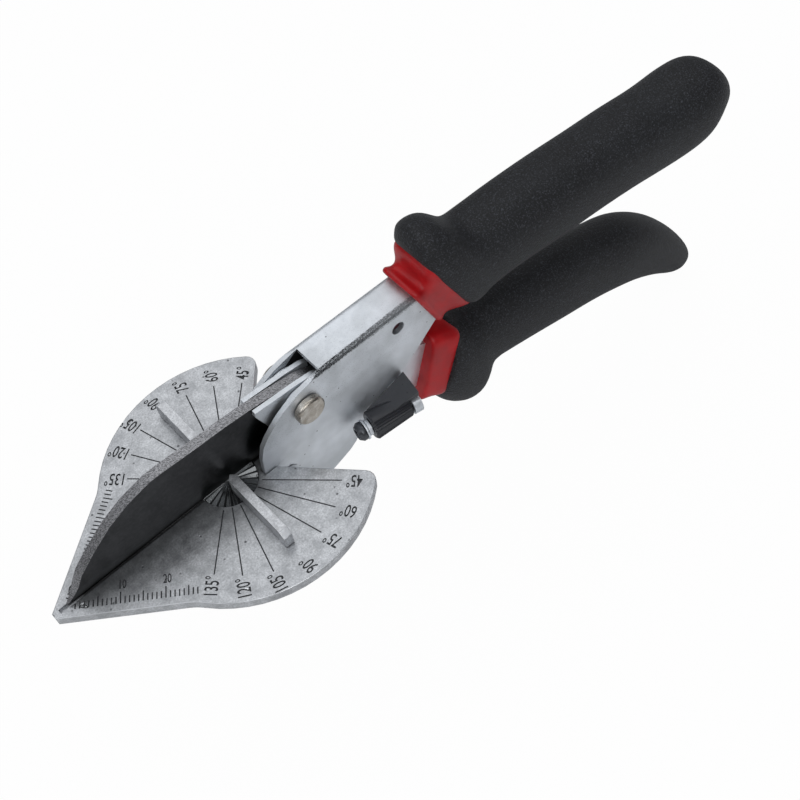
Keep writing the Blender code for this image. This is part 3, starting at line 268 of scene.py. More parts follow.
def zinc_plate():
    """Bright zinc plating on rolled sheet: faintly wavy, with a few specks.

    Along the body's near bend a dark grainy band is painted in, most of all in front: a painted reflection.
    """
    base = settings()[1].plate
    made, tree, shader, place = new_material("zinc_plated_sheet", base, 0.5, 1.0)
    peel = noise(tree, place, 0.9 * MM, 2.0)
    wave = noise(tree, place, 9.0 * MM, 2.0)
    speck = ramp(tree, cells(tree, place, 3.0 * MM), 0.04, 0.075, 0.0, 1.0)
    tone = mixed(tree, ramp(tree, wave, 0.35, 0.65, 0.0, 1.0), shade(base, 0.94), shade(base, 1.04))
    tone = mixed(tree, speck, shade(base, 0.5), tone)
    # Painted reflection: a dark grainy band along the near bend, where the surface faces up and towards the
    # near side
    turned = facing(tree)
    bend = maths(tree, "MULTIPLY", turned["Y"], turned["Z"])
    band_grain = noise(tree, place, 0.30 * MM, 2.0)
    dark = mixed(tree, ramp(tree, band_grain, 0.38, 0.62, 0.0, 1.0), shade(base, 0.06), shade(base, 0.54))
    axes = axes_of(tree, place)
    upper = ramp(tree, axes["Z"], CENTRE.z + 5.0 * MM, CENTRE.z + 8.0 * MM, 0.0, 1.0)
    forward = ramp(tree, axes["X"], CENTRE.x + 30.0 * MM, CENTRE.x + 56.0 * MM, 1.0, 0.6)
    ragged = maths(tree, "ADD", bend, ramp(tree, band_grain, 0.35, 0.65, -0.09, 0.09))
    bend_reflection = maths(tree, "MULTIPLY", ramp(tree, ragged, -0.32, -0.05, 1.0, 0.0), upper)
    tone = mixed(tree, maths(tree, "MULTIPLY", bend_reflection, forward), tone, dark)
    tree.links.new(tone, shader.inputs["Base Color"])
    tree.links.new(ramp(tree, peel, 0.3, 0.7, 0.48, 0.58), shader.inputs["Roughness"])
    bump(tree, shader, peel, 0.05, 0.10 * MM)
    return made


def painted_shade_inside():
    """The inside of the folded sheet: dull plating, painted dark as painted shade inside the fold."""
    made, tree, shader, place = new_material("painted_shade_inside_of_sheet", "2c2d2f", 0.5, 0.8)
    cloud = ramp(tree, noise(tree, place, 2.5 * MM), 0.3, 0.7, 0.0, 1.0)
    tree.links.new(mixed(tree, cloud, "1c1d1f", "38393b"), shader.inputs["Base Color"])
    return made


def bright_nickel():
    """Nickel-plated rivet head: warm grey, with short scratches from use."""
    made, tree, shader, place = new_material("bright_nickel", "bdb7ad", 0.3, 1.0)
    along = drawn_out(tree, place, (0, math.radians(35), 0), (0.08, 1, 1))
    scratch = noise(tree, along, 0.22 * MM, 2.0)
    cloud = ramp(tree, noise(tree, place, 2.0 * MM), 0.35, 0.65, 0.0, 1.0)
    tree.links.new(mixed(tree, cloud, "a79f94", "cfcac2"), shader.inputs["Base Color"])
    tree.links.new(ramp(tree, scratch, 0.35, 0.65, 0.22, 0.42), shader.inputs["Roughness"])
    bump(tree, shader, scratch, 0.25, 0.03 * MM)
    return made


def blade_steel():
    """Hardened blade: dark polished faces, and a spine left dull grey by a coarse cross grind."""
    base = settings()[1].blade
    made, tree, shader, place = new_material("hardened_blade_steel", base, 0.32, 1.0)
    flat = maths(tree, "ABSOLUTE", facing(tree)["Y"])
    spine = ramp(tree, flat, 0.35, 0.6, 1.0, 0.0)
    cuts = []
    for turn in (62, 8):
        along = drawn_out(tree, place, (0, 0, math.radians(turn)), (0.35, 1, 0.35))
        cuts.append(noise(tree, along, 0.17 * MM, 2.0, 0.5))
    hatch = maths(tree, "ADD", *cuts)
    cloud = noise(tree, place, 6.0 * MM)
    haze = noise(tree, place, 0.8 * MM, 2.0)
    face = mixed(tree, ramp(tree, cloud, 0.3, 0.7, 0.0, 1.0), shade(base, 0.9), shade(base, 1.12))
    face = mixed(tree, ramp(tree, haze, 0.4, 0.7, 0.0, 0.35), face, shade(base, 1.35))
    ground = mixed(tree, ramp(tree, hatch, 0.8, 1.2, 0.0, 1.0), shade(base, 1.5), shade(base, 2.75))
    tree.links.new(mixed(tree, spine, face, ground), shader.inputs["Base Color"])
    tree.links.new(ramp(tree, spine, 0.0, 1.0, 0.30, 0.46), shader.inputs["Roughness"])
    bump(tree, shader, maths(tree, "MULTIPLY", hatch, spine), 0.35, 0.06 * MM)
    return made


def oiled_spring_steel():
    """Oil-tempered wire: dark blue grey with a thin film of oil."""
    made, tree, shader, place = new_material("oiled_spring_steel", "56585c", 0.34, 1.0)
    film = noise(tree, place, 1.5 * MM)
    tree.links.new(ramp(tree, film, 0.3, 0.7, 0.26, 0.46), shader.inputs["Roughness"])
    return made


def moulded_nylon():
    """Black glass-filled nylon from a polished mould: satin, with faint flow marks."""
    made, tree, shader, place = new_material("moulded_nylon", "313236", 0.38)
    flow = noise(tree, place, 1.2 * MM)
    tree.links.new(ramp(tree, flow, 0.3, 0.7, 0.27, 0.42), shader.inputs["Roughness"])
    bump(tree, shader, noise(tree, place, 0.3 * MM, 2.0), 0.12, 0.05 * MM)
    return made


def moulded_red():
    """Red polypropylene, satin from a fine spark-eroded mould, slightly uneven in tone."""
    base = settings()[1].red
    made, tree, shader, place = new_material("moulded_polypropylene", base, 0.42)
    shader.inputs["Specular IOR Level"].default_value = 0.36
    cloud = noise(tree, place, 5.0 * MM)
    tone = mixed(tree, ramp(tree, cloud, 0.3, 0.7, 0.0, 1.0), shade(base, 0.9), shade(base, 1.06))
    tree.links.new(tone, shader.inputs["Base Color"])
    tree.links.new(ramp(tree, cloud, 0.3, 0.7, 0.34, 0.46), shader.inputs["Roughness"])
    bump(tree, shader, noise(tree, place, 0.35 * MM, 2.0), 0.18, 0.06 * MM)
    return made


def grip_elastomer():
    """Thermoplastic elastomer with a leather-like grain: near black and dull, with painted glints on the
    grain.
    """
    base = settings()[1].grip
    made, tree, shader, place = new_material("grip_elastomer", base, 0.62)
    shader.inputs["Specular IOR Level"].default_value = 0.36
    grain = cells(tree, place, 0.55 * MM, "SMOOTH_F1")
    fine = noise(tree, place, 0.4 * MM, 3.0, 0.7)
    cloud = noise(tree, place, 14.0 * MM, 3.0)
    tone = mixed(tree, ramp(tree, cloud, 0.3, 0.7, 0.0, 1.0), shade(base, 0.86), shade(base, 1.12))
    # Painted highlight: the fine grain's light specks stand in for its glints
    tone = mixed(tree, ramp(tree, fine, 0.52, 0.66, 0.0, 1.0), tone, shade(base, 2.7))
    tree.links.new(tone, shader.inputs["Base Color"])
    tree.links.new(ramp(tree, fine, 0.3, 0.7, 0.54, 0.74), shader.inputs["Roughness"])
    under = bump(tree, shader, grain, 0.7, 0.20 * MM)
    bump(tree, shader, fine, 0.6, 0.16 * MM, under)
    return made


def shared(name, make):
    """A material that several pieces wear, made only once."""
    return bpy.data.materials.get(name) or make()


def deselect():
    """Leave nothing selected."""
    for other in bpy.context.selected_objects:
        other.select_set(False)


def only(made):
    """Select one object alone."""
    deselect()
    bpy.context.view_layer.objects.active = made
    made.select_set(True)


MERGE_REACH = 0.002 * MM
FLAT_ANGLE = math.radians(0.6)
FOLD_ANGLE = math.radians(32)
ROUND_ANGLE = math.radians(50)


def copy_of(node, name):
    """A merged copy of a CAD node's mesh, with its flat faces whole again."""
    made = bpy.data.objects.new(name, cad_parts[node].data.copy())
    made.data.name = name
    bpy.context.scene.collection.objects.link(made)
    made.data.materials.clear()
    only(made)
    bpy.ops.object.mode_set(mode="EDIT")
    bpy.ops.mesh.select_all(action="SELECT")
    bpy.ops.mesh.remove_doubles(threshold=MERGE_REACH)
    bpy.ops.mesh.dissolve_limited(angle_limit=FLAT_ANGLE)
    bpy.ops.object.mode_set(mode="OBJECT")
    return made


def apply(made, kind, **values):
    """Add a modifier and apply it."""
    step = made.modifiers.new(kind.title(), kind)
    for name, value in values.items():
        setattr(step, name, value)
    only(made)
    bpy.ops.object.modifier_apply(modifier=step.name)


def smooth_flats(made):
    """Shade the rounded edges smooth and keep the flat faces flat."""
    only(made)
    bpy.ops.object.shade_smooth_by_angle(angle=FOLD_ANGLE)
    apply(made, "WEIGHTED_NORMAL", weight=100, keep_sharp=True)


def soften(made, width, segments=2, angle=30):
    """Round the edges that turn by more than the angle, in degrees, and shade the piece smooth."""
    apply(made, "BEVEL", width=width, segments=segments, limit_method="ANGLE",
          angle_limit=math.radians(angle), use_clamp_overlap=True, miter_outer="MITER_ARC")
    smooth_flats(made)


def select_open_edges(made):
    """In edit mode, select only the edges that have a single face."""
    bpy.ops.mesh.select_all(action="DESELECT")
    shape = bmesh.from_edit_mesh(made.data)
    for edge in shape.edges:
        edge.select = edge.is_boundary
    bmesh.update_edit_mesh(made.data)


def place_in_mesh(made):
    """Move the object's place, turn and scale into its mesh."""
    only(made)
    bpy.ops.object.transform_apply(location=True, rotation=True, scale=True)


def finish_piece(made, body, node, finish):
    """Give the piece its finish and its body, and hide the CAD nodes that it stands for."""
    if finish:
        made.data.materials.append(finish)
    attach(made, body)
    nodes = (node,) if isinstance(node, str) else node
    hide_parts(*nodes)
    return made


def dress(node, finish):
    """Give a CAD node a finish of its own."""
    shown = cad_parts[node]
    shown.data.materials.clear()
    shown.data.materials.append(finish)


# Lengths in this table and in the ones below it are in millimetres.
# Each angle with the end of its line and the middle of its number, from the centre
ANGLE_MARKS = ((45, 26.2, 29.0), (60, 26.2, 29.3), (75, 26.2, 29.3), (90, 0.0, 29.3), (105, 26.2, 29.0),
               (120, 24.6, 27.6), (135, 23.6, 26.4))
LINE_START = 7.4
OUTER_LINE_START = 7.9
OUTER_ANGLES = (50, 130)
LINE_HALF_WIDTH = 0.15
RULER_START = (-43.9, 2.0)
RULER_ANGLE = math.radians(36.3)
RULER_LENGTH = 27
TICK_START = 0.25
TEN_TICK = 3.0
FIVE_TICK = 2.6
SINGLE_TICK = 1.9
# Each number of the ruler, with its place along it
RULER_NUMBERS = ((0, -1.2), (10, 10.3), (20, 20.3))
RULER_NUMBER_INWARD = 4.7
RULER_DEPTH_SHARE = 0.8

# The share of a text's size that a figure's height takes, and how narrow and bold the figures are
FIGURE_SHARE = 0.72
FIGURE_WIDTH_SHARE = 0.62
FIGURE_WEIGHT = 0.05 * MM
STAMP_MERGE_REACH = 0.001 * MM


def bar(low, high, place):
    """A small block that stamps a line, from low to high in its own frame."""
    bpy.ops.mesh.primitive_cube_add(size=1)
    made = bpy.context.active_object
    centre = [(a + b) / 2 for a, b in zip(low, high)]
    size = [b - a for a, b in zip(low, high)]
    made.data.transform(place @ Matrix.Translation(centre) @ Matrix.Diagonal((*size, 1)))
    return made


def number(text, height, place, depth):
    """A number as a solid stamp, centred on its place, reading along the place's X."""
    bpy.ops.object.text_add()
    made = bpy.context.active_object
    made.data.body = text
    made.data.size = height / FIGURE_SHARE
    made.data.space_character = 1.02
    made.data.align_x = "CENTER"
    made.data.align_y = "CENTER"
    made.data.resolution_u = 3
    made.data.offset = FIGURE_WEIGHT
    made.data.extrude = depth
    bpy.ops.object.convert(target="MESH")
    made = bpy.context.active_object
    made.data.transform(place @ Matrix.Diagonal((FIGURE_WIDTH_SHARE, 1, 1, 1)))
    return made


def angle_stamps(side, height, depth):
    """The protractor's lines and numbers on one wing."""
    made = []
    half = LINE_HALF_WIDTH * MM
    for angle, reach, middle in ANGLE_MARKS:
        radial = Matrix.Translation(CENTRE) @ Matrix.Rotation(math.radians(angle) * side, 4, "Z")
        if reach:
            inside = OUTER_ANGLES[0] < angle < OUTER_ANGLES[1]
            start = (LINE_START if inside else OUTER_LINE_START) * MM
            made.append(bar((start, -half, -depth), (reach * MM, half, depth), radial))
        reading = 0 if side > 0 else math.pi
        label = radial @ Matrix.Translation((middle * MM, 0, 0)) @ Matrix.Rotation(reading, 4, "Z")
        made.append(number("%d\u00b0" % angle, height, label, depth))
    return made


def ruler_stamps(side, height, depth):
    """The ruler's marks and numbers along one front edge."""
    made = []
    low_depth = depth * RULER_DEPTH_SHARE
    edge = Matrix.Translation(CENTRE + Vector((RULER_START[0] * MM, RULER_START[1] * MM * side, 0)))
    edge = edge @ Matrix.Rotation(RULER_ANGLE * side, 4, "Z")
    for tick in range(RULER_LENGTH + 1):
        length = (TEN_TICK if tick % 10 == 0 else FIVE_TICK if tick % 5 == 0 else SINGLE_TICK) * MM
        low, high = sorted((TICK_START * MM * -side, length * -side))
        left, right = (tick - LINE_HALF_WIDTH) * MM, (tick + LINE_HALF_WIDTH) * MM
        made.append(bar((left, low, -low_depth), (right, high, depth), edge))
    for tens, along in RULER_NUMBERS:
        label = edge @ Matrix.Translation((along * MM, -side * RULER_NUMBER_INWARD * MM, 0))
        if side > 0:
            label = label @ Matrix.Rotation(math.pi, 4, "Z")
        made.append(number("%d" % tens, height, label, low_depth))
    return made


def stamps(sizes):
    """Everything that is stamped in the anvil, as one set of solid stamps."""
    depth = sizes.engraving_depth
    made = []
    for side in (-1, 1):
        made += angle_stamps(side, sizes.letter_height, depth)
        made += ruler_stamps(side, sizes.ruler_number_height, depth)
    only(made[0])
    for stamp in made:
        stamp.select_set(True)
    bpy.ops.object.join()
    joined = bpy.context.active_object
    joined.name = "anvil_stamps"
    bpy.ops.object.mode_set(mode="EDIT")
    bpy.ops.mesh.select_all(action="SELECT")
    bpy.ops.mesh.remove_doubles(threshold=STAMP_MERGE_REACH)
    bpy.ops.mesh.normals_make_consistent(inside=False)
    bpy.ops.object.mode_set(mode="OBJECT")
    return joined


RIM_ROUNDING = 0.25 * MM
RIM_ANGLE = math.radians(60)
PLATE_THICKNESS = 3.0 * MM
LEVEL_REACH = 0.01 * MM
RECESS_RADIUS = 9.0 * MM
GROOVE_HALF_WIDTH = 0.7 * MM


def round_rim(anvil):
    """Round the plate's outer edges, above and below, and leave the groove and the recess sharp."""
    only(anvil)
    bpy.ops.object.mode_set(mode="EDIT")
    bpy.ops.mesh.select_all(action="DESELECT")
    shape = bmesh.from_edit_mesh(anvil.data)
    levels = (CENTRE.z, CENTRE.z - PLATE_THICKNESS)
    for edge in shape.edges:
        level = any(all(abs(vert.co.z - height) < LEVEL_REACH for vert in edge.verts) for height in levels)
        ends = [vert.co - CENTRE for vert in edge.verts]
        outside = all(math.hypot(end.x, end.y) > RECESS_RADIUS and abs(end.y) > GROOVE_HALF_WIDTH
                      for end in ends)
        turned = len(edge.link_faces) == 2 and edge.calc_face_angle() > RIM_ANGLE
        edge.select = level and outside and turned
    bmesh.update_edit_mesh(anvil.data)
    bpy.ops.mesh.bevel(offset=RIM_ROUNDING, segments=3, affect="EDGES", clamp_overlap=True)
    bpy.ops.object.mode_set(mode="OBJECT")


class SHEARS_OT_anvil(bpy.types.Operator):
    """Round the anvil's edges and stamp the protractor and the rulers in it"""
    bl_idname = "shears.anvil"
    bl_label = "Engraved Anvil"

    def execute(self, context):
        sizes = settings()[0]
        anvil = copy_of("anvil", "engraved_anvil")
        round_rim(anvil)
        anvil.data.materials.append(blasted_zinc())
        tool = stamps(sizes)
        tool.data.materials.clear()
        tool.data.materials.append(stamped_mark())
        apply(anvil, "BOOLEAN", operation="DIFFERENCE", object=tool, solver="EXACT", use_self=True,
              material_mode="TRANSFER")
        bpy.data.objects.remove(tool)
        smooth_flats(anvil)
        finish_piece(anvil, "frame", "anvil", None)
        return {"FINISHED"}


FENCE_EDGE = 0.18 * MM
RIVET_EDGE = 0.25 * MM
BLADE_EDGE = 0.12 * MM
CATCH_EDGE = 0.10 * MM
SCREW_EDGE = 0.15 * MM
RING_EDGE = 0.08 * MM
# On the fence and the blade only edges that turn by more than this many degrees are rounded
CAST_EDGE_ANGLE = 35


class SHEARS_OT_fence(bpy.types.Operator):
    """Soften the fence and finish its washers and nut"""
    bl_idname = "shears.fence"
    bl_label = "Fence"

    def execute(self, context):
        fence = copy_of("fence", "turning_fence")
        soften(fence, FENCE_EDGE, angle=CAST_EDGE_ANGLE)
        finish_piece(fence, "fence", "fence", blasted_zinc("blasted_zinc_fence", hub=True))
        plate = shared("zinc_plated_sheet", zinc_plate)
        dress("fence_washer", plate)
        dress("fence_nut", plate)
        dress("fence_spring_washer", shared("oiled_spring_steel", oiled_spring_steel))
        return {"FINISHED"}


# Points of the side walls' outlines, as x and z in millimetres from the protractor's centre, and where they
# go: the near cheek comes forward under the lock, and the lever's far flange closes the view through the
# cheek's hole
CHEEK_MOVES = (((34.1, -8.8), (36.6, -9.6)), ((34.3, -6.1), (39.0, -7.2)), ((36.0, -4.8), (40.5, -6.0)),
               ((39.9, -3.9), (42.4, -4.4)))
FLANGE_MOVES = (((50.0, 3.6), (50.0, 4.4)), ((57.0, -1.2), (57.0, 4.0)))
# How near a corner has to be to such a point, and how far from the middle the side walls are
POINT_REACH = 0.5
WALLS_FROM = 2.1

# Each folded piece: its node, name and body, half its inner width in millimetres, and the side whose wall
# changes with the points that it moves
FOLDED = (("body_channel", "folded_body", "frame", 3.8, -1, CHEEK_MOVES),
          ("lever", "folded_lever", "lever", 2.4, 1, FLANGE_MOVES))
# Behind this place the inside of the folds is painted dark, as painted shade
SHADED_FROM = CENTRE.x + 27.0 * MM
PLATED_NODES = ("anvil_rivet_1", "anvil_rivet_2", "near_pivot_washer", "far_pivot_washer", "blade_pin_1",
                "blade_pin_2")


def move_outline(made, side, moves):
    """Move points of one side wall's outline."""
    for vert in made.data.vertices:
        place = (vert.co - CENTRE) / MM
        if place.y * side < WALLS_FROM:
            continue
        for old, new in moves:
            if math.hypot(place.x - old[0], place.z - old[1]) < POINT_REACH:
                vert.co.x += (new[0] - old[0]) * MM
                vert.co.z += (new[1] - old[1]) * MM
                break


def shade_inside(steel, half, finish):
    """Give the faces inside the fold, those that face inwards and those that face down, the painted shade
    finish.
    """
    steel.data.materials.append(finish)
    for face in steel.data.polygons:
        out = abs(face.center.y)
        inner = out < half * MM and face.normal.y * face.center.y < -0.5 * out
        under = out < half * MM and face.normal.z < -0.8
        if face.center.x > SHADED_FROM and (inner or under):
            face.material_index = 1


class SHEARS_OT_steelwork(bpy.types.Operator):
    """Round the edges of the folded body and lever, and finish the rivets, pins and washers"""
    bl_idname = "shears.steelwork"
    bl_label = "Folded Steel"

    def execute(self, context):
        edge = settings()[0].steel_edge
        plate = shared("zinc_plated_sheet", zinc_plate)
        inside = painted_shade_inside()
        for node, name, body, half, side, moves in FOLDED:
            steel = copy_of(node, name)
            move_outline(steel, side, moves)
            soften(steel, edge)
            finish_piece(steel, body, node, plate)
            shade_inside(steel, half, inside)
        rivet = copy_of("pivot_rivet", "pivot_rivet_head")
        soften(rivet, RIVET_EDGE, 3)
        finish_piece(rivet, "frame", "pivot_rivet", bright_nickel())
        for node in PLATED_NODES:
            dress(node, plate)
        return {"FINISHED"}


class SHEARS_OT_blade(bpy.types.Operator):
    """Ease the blade's edges and give it a ground spine"""
    bl_idname = "shears.blade"
    bl_label = "Blade"

    def execute(self, context):
        blade = copy_of("blade", "ground_blade")
        soften(blade, BLADE_EDGE, angle=CAST_EDGE_ANGLE)
        finish_piece(blade, "lever", "blade", blade_steel())
        return {"FINISHED"}


RING_POINTS = 32
# How many steps lead from one row of a grip to the next
EASING_STEPS = 3
CAP_INSET = 0.6 * MM
# How square the rings are: 2 is an ellipse, and more is squarer
GRIP_SQUARENESS = 2.35
COLLAR_SQUARENESS = 5.0

# Rows from front to rear, in millimetres from the protractor's centre:
# x, z, tilt in degrees, half width, height over the centre, height under it
UPPER_GRIP_ROWS = (
    (65.5, 14.5, -25, 8.6, 16.4, 10.3), (65.75, 14.5, -24.5, 9.1, 17.8, 10.5),
    (66.3, 14.5, -23, 9.6, 19.7, 10.7), (68.0, 14.5, -20, 10.3, 22.4, 10.7),
    (71.0, 14.4, -14, 10.1, 20.3, 10.7), (74.5, 14.2, -8, 9.4, 12.4, 10.6),
    (78.9, 14.4, 0, 9.2, 11.1, 10.7), (88.0, 14.1, 5, 9.3, 11.1, 10.9), (101.0, 12.9, 8, 9.6, 11.1, 11.1),
    (114.0, 11.5, 9, 9.6, 11.0, 11.0), (126.0, 10.1, 9, 9.8, 11.1, 11.1),
    (137.9, 8.1, 10, 10.0, 11.3, 11.3), (147.4, 7.3, 12, 10.3, 11.7, 11.7),
    (154.5, 6.6, 16, 9.8, 11.0, 11.2), (159.5, 5.0, 22, 7.6, 7.9, 8.2), (162.9, 2.0, 28, 5.2, 5.2, 5.4),
    (164.6, -0.6, 32, 2.4, 2.4, 2.5),
)
LOWER_GRIP_ROWS = (
    (61.5, -11.5, 20, 8.5, 10.4, 11.5), (61.8, -11.6, 19, 9.1, 10.8, 12.8),
    (62.5, -11.9, 16, 9.8, 11.0, 14.9), (64.7, -12.5, 9, 10.6, 11.2, 19.8),
    (67.7, -13.9, 2, 10.6, 11.2, 23.3), (70.3, -14.8, -2, 10.4, 11.0, 22.9),
    (72.5, -15.4, -3, 9.8, 11.0, 19.2), (74.5, -15.9, -2, 9.3, 11.0, 12.6),
    (78.0, -16.4, 5, 9.0, 11.0, 11.4), (82.0, -17.3, 12, 8.9, 10.9, 11.3),
    (92.0, -20.1, 16, 8.8, 11.2, 11.2), (104.0, -23.3, 18, 8.8, 11.5, 11.5),
    (116.0, -27.1, 21, 8.6, 11.2, 11.2), (126.0, -30.9, 27, 8.7, 11.0, 11.0),
    (136.0, -37.5, 35, 8.0, 9.6, 9.6), (145.3, -46.4, 42, 7.0, 7.6, 7.6),
    (152.2, -54.7, 46, 5.9, 5.8, 5.8), (156.5, -59.9, 48, 4.2, 3.8, 3.8),
    (158.5, -62.2, 49, 1.9, 1.7, 1.7),
)
UPPER_COLLAR_ROWS = (
    (57.4, 14.5, -22, 6.0, 8.1, 8.9), (57.55, 14.5, -22, 6.5, 8.5, 9.3), (58.5, 14.5, -22, 6.8, 8.9, 9.3),
    (59.0, 14.5, -22, 6.6, 8.7, 9.1), (59.9, 14.5, -22, 6.1, 8.2, 8.7), (61.2, 14.5, -22, 6.1, 8.6, 8.8),
    (62.5, 14.5, -23, 6.6, 10.2, 9.2), (63.6, 14.5, -24, 7.2, 12.4, 9.6),
    (65.4, 14.5, -25, 7.9, 14.8, 9.9), (66.9, 14.5, -25, 7.9, 14.8, 9.9),
    (67.1, 14.5, -25, 7.7, 14.4, 9.7),
)
LOWER_COLLAR_ROWS = (
    (55.0, -9.5, 18, 6.0, 11.1, 10.0), (55.15, -9.6, 18, 6.5, 11.5, 10.35),
    (55.5, -9.7, 18, 6.85, 11.6, 10.6), (57.8, -10.3, 18, 7.0, 11.4, 10.8),
    (60.6, -11.2, 20, 7.5, 11.1, 11.4), (61.2, -11.4, 20, 7.7, 11.0, 11.6),
    (62.7, -12.0, 20, 7.7, 10.6, 11.6), (62.9, -12.0, 20, 7.5, 10.4, 11.4),
)


def ring_place(row, power, turn):
    """A point of a rounded ring that leans by its tilt."""
    x, z, tilt, half_width, over, under = row
    side = math.copysign(abs(math.cos(turn)) ** (2 / power), math.cos(turn))
    rise = math.copysign(abs(math.sin(turn)) ** (2 / power), math.sin(turn))
    lean = math.radians(tilt)
    height = (over if rise > 0 else under) * rise
    place = Vector((x + height * math.sin(lean), half_width * side, z + height * math.cos(lean)))
    return CENTRE + place * MM


def eased(rows, steps):
    """More rows between the given ones, on a curve that passes through each of them."""
    padded = (rows[0], *rows, rows[-1])
    made = []
    for before, first, second, after in zip(padded, padded[1:], padded[2:], padded[3:]):
        for k in range(steps):
            t = k / steps
            row = []
            for a, b, c, d in zip(before, first, second, after):
                pull = ((-a + 3 * b - 3 * c + d) * t + (2 * a - 5 * b + 4 * c - d)) * t + (c - a)
                row.append(b + 0.5 * t * pull)
            made.append(row)
    return made + [list(rows[-1])]


def moulded_form(name, rows, power, levels):
    """A round moulding: a circle drawn out row by row, each row shaped in turn, then subdivided."""
    deselect()
    bpy.ops.mesh.primitive_circle_add(vertices=RING_POINTS, radius=MM)
    made = bpy.context.active_object
    made.name = made.data.name = name
    bpy.ops.object.mode_set(mode="EDIT")
    bpy.ops.mesh.select_all(action="SELECT")
    turns = {}
    for k, row in enumerate(rows):
        if k:
            bpy.ops.mesh.extrude_edges_move()
        shape = bmesh.from_edit_mesh(made.data)
        ring = [vert for vert in shape.verts if vert.select]
        order = {}
        for vert in ring:
            behind = [edge.other_vert(vert) for edge in vert.link_edges if not edge.other_vert(vert).select]
            order[vert] = turns[behind[0].index] if behind else math.atan2(vert.co.y, vert.co.x)
        for vert in ring:
            vert.co = ring_place(row, power, order[vert])
        shape.verts.index_update()
        turns = {vert.index: order[vert] for vert in ring}
        bmesh.update_edit_mesh(made.data)
    bpy.ops.mesh.edge_face_add()
    bpy.ops.mesh.inset(thickness=CAP_INSET)
    select_open_edges(made)
    bpy.ops.mesh.edge_face_add()
    bpy.ops.mesh.inset(thickness=CAP_INSET)
    bpy.ops.mesh.select_all(action="SELECT")
    bpy.ops.mesh.normals_make_consistent(inside=False)
    bpy.ops.object.mode_set(mode="OBJECT")
    place_in_mesh(made)
    apply(made, "SUBSURF", levels=levels, render_levels=levels)
    only(made)
    bpy.ops.object.shade_smooth_by_angle(angle=ROUND_ANGLE)
    return made


class SHEARS_OT_grips(bpy.types.Operator):
    """Shape the two dark grips and their red collars"""
    bl_idname = "shears.grips"
    bl_label = "Grips and Collars"

    def execute(self, context):
        levels = settings()[0].grip_smoothness
        black = grip_elastomer()
        red = moulded_red()
        for name, rows, body, node in (("upper_soft_grip", UPPER_GRIP_ROWS, "frame", "upper_grip"),
                                       ("lower_soft_grip", LOWER_GRIP_ROWS, "lever", "lower_grip")):
            form = moulded_form(name, eased(rows, EASING_STEPS), GRIP_SQUARENESS, levels)
            finish_piece(form, body, node, black)
        for name, rows, body, node in (("upper_collar", UPPER_COLLAR_ROWS, "frame", "upper_sleeve"),
                                       ("lower_collar", LOWER_COLLAR_ROWS, "lever", "lower_sleeve")):
            finish_piece(moulded_form(name, rows, COLLAR_SQUARENESS, levels), body, node, red)
        return {"FINISHED"}


class SHEARS_OT_lock(bpy.types.Operator):
    """Soften the lock's catch, its screw and its rings"""
    bl_idname = "shears.lock"
    bl_label = "Lock"

    def execute(self, context):
        plate = shared("zinc_plated_sheet", zinc_plate)
        darkened = shared("oiled_spring_steel", oiled_spring_steel)
        for node, name, body, edge, finish in (
                ("lock_catch", "ribbed_catch", "lock", CATCH_EDGE, moulded_nylon()),
                ("lock_screw", "pan_head_screw", "lever", SCREW_EDGE, darkened),
                ("lock_washer", "bright_lock_washer", "lever", RING_EDGE, plate),
                ("lock_bush", "bright_lock_bush", "lever", RING_EDGE, plate)):
            made = copy_of(node, name)
            soften(made, edge)
            finish_piece(made, body, node, finish)
        return {"FINISHED"}


SPRING_X = 46.0 * MM
SPRING_LOW = 4.3 * MM
SPRING_HIGH = 18.0 * MM
SPRING_RADIUS = 2.6 * MM
SPRING_TURNS = 7
STEPS_PER_TURN = 24
WIRE_RADIUS = 0.4 * MM
WIRE_POINTS = 10


class SHEARS_OT_spring(bpy.types.Operator):
    """Wind the return spring"""
    bl_idname = "shears.spring"
    bl_label = "Return Spring"

    def execute(self, context):
        deselect()
        bpy.ops.mesh.primitive_circle_add(vertices=WIRE_POINTS, radius=WIRE_RADIUS)
        made = bpy.context.active_object
        made.name = made.data.name = "wound_return_spring"
        made.data.transform(Matrix.Translation((SPRING_RADIUS, 0, 0)) @ Matrix.Rotation(math.pi / 2, 4, "X"))
        steps = STEPS_PER_TURN * SPRING_TURNS
        apply(made, "SCREW", angle=math.tau * SPRING_TURNS, screw_offset=SPRING_HIGH - SPRING_LOW,
              iterations=1, steps=steps, render_steps=steps, axis="Z", use_merge_vertices=False)
        bpy.ops.object.mode_set(mode="EDIT")
        select_open_edges(made)
        bpy.ops.mesh.edge_face_add()
        bpy.ops.mesh.select_all(action="SELECT")
        bpy.ops.mesh.normals_make_consistent(inside=False)
        bpy.ops.object.mode_set(mode="OBJECT")
        made.data.transform(Matrix.Translation(CENTRE + Vector((SPRING_X, 0, SPRING_LOW))))
        made.data.materials.append(shared("oiled_spring_steel", oiled_spring_steel))
        only(made)
        bpy.ops.object.shade_smooth_by_angle(angle=ROUND_ANGLE)
        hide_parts("return_spring")
        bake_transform(made)
        return {"FINISHED"}


CAMERA_PLACE = CENTRE + Vector((-48.83, -150.12, 257.06)) * MM
CAMERA_TURN = (32.3715, 5.3446, -41.6713)
CAMERA_LENS = 59.1

FLOOR_SIZE = 6
# The share of plain white in what the camera sees of the floor; the rest keeps a trace of the shadow
FLOOR_WHITE_SHARE = 0.97
SKY_STRENGTH = 0.65
LAMP_TARGET = Vector((-0.01, 0, 0.05))
# Name, place in metres, edge in metres and power in watts
SOFTBOXES = (("overhead_softbox", (0.30, 0.45, 0.95), 1.15, 3.2),
             ("front_softbox", (-0.30, -0.75, 0.75), 0.70, 3.0),
             ("left_softbox", (-0.75, 0.05, 0.60), 0.60, 1.4))


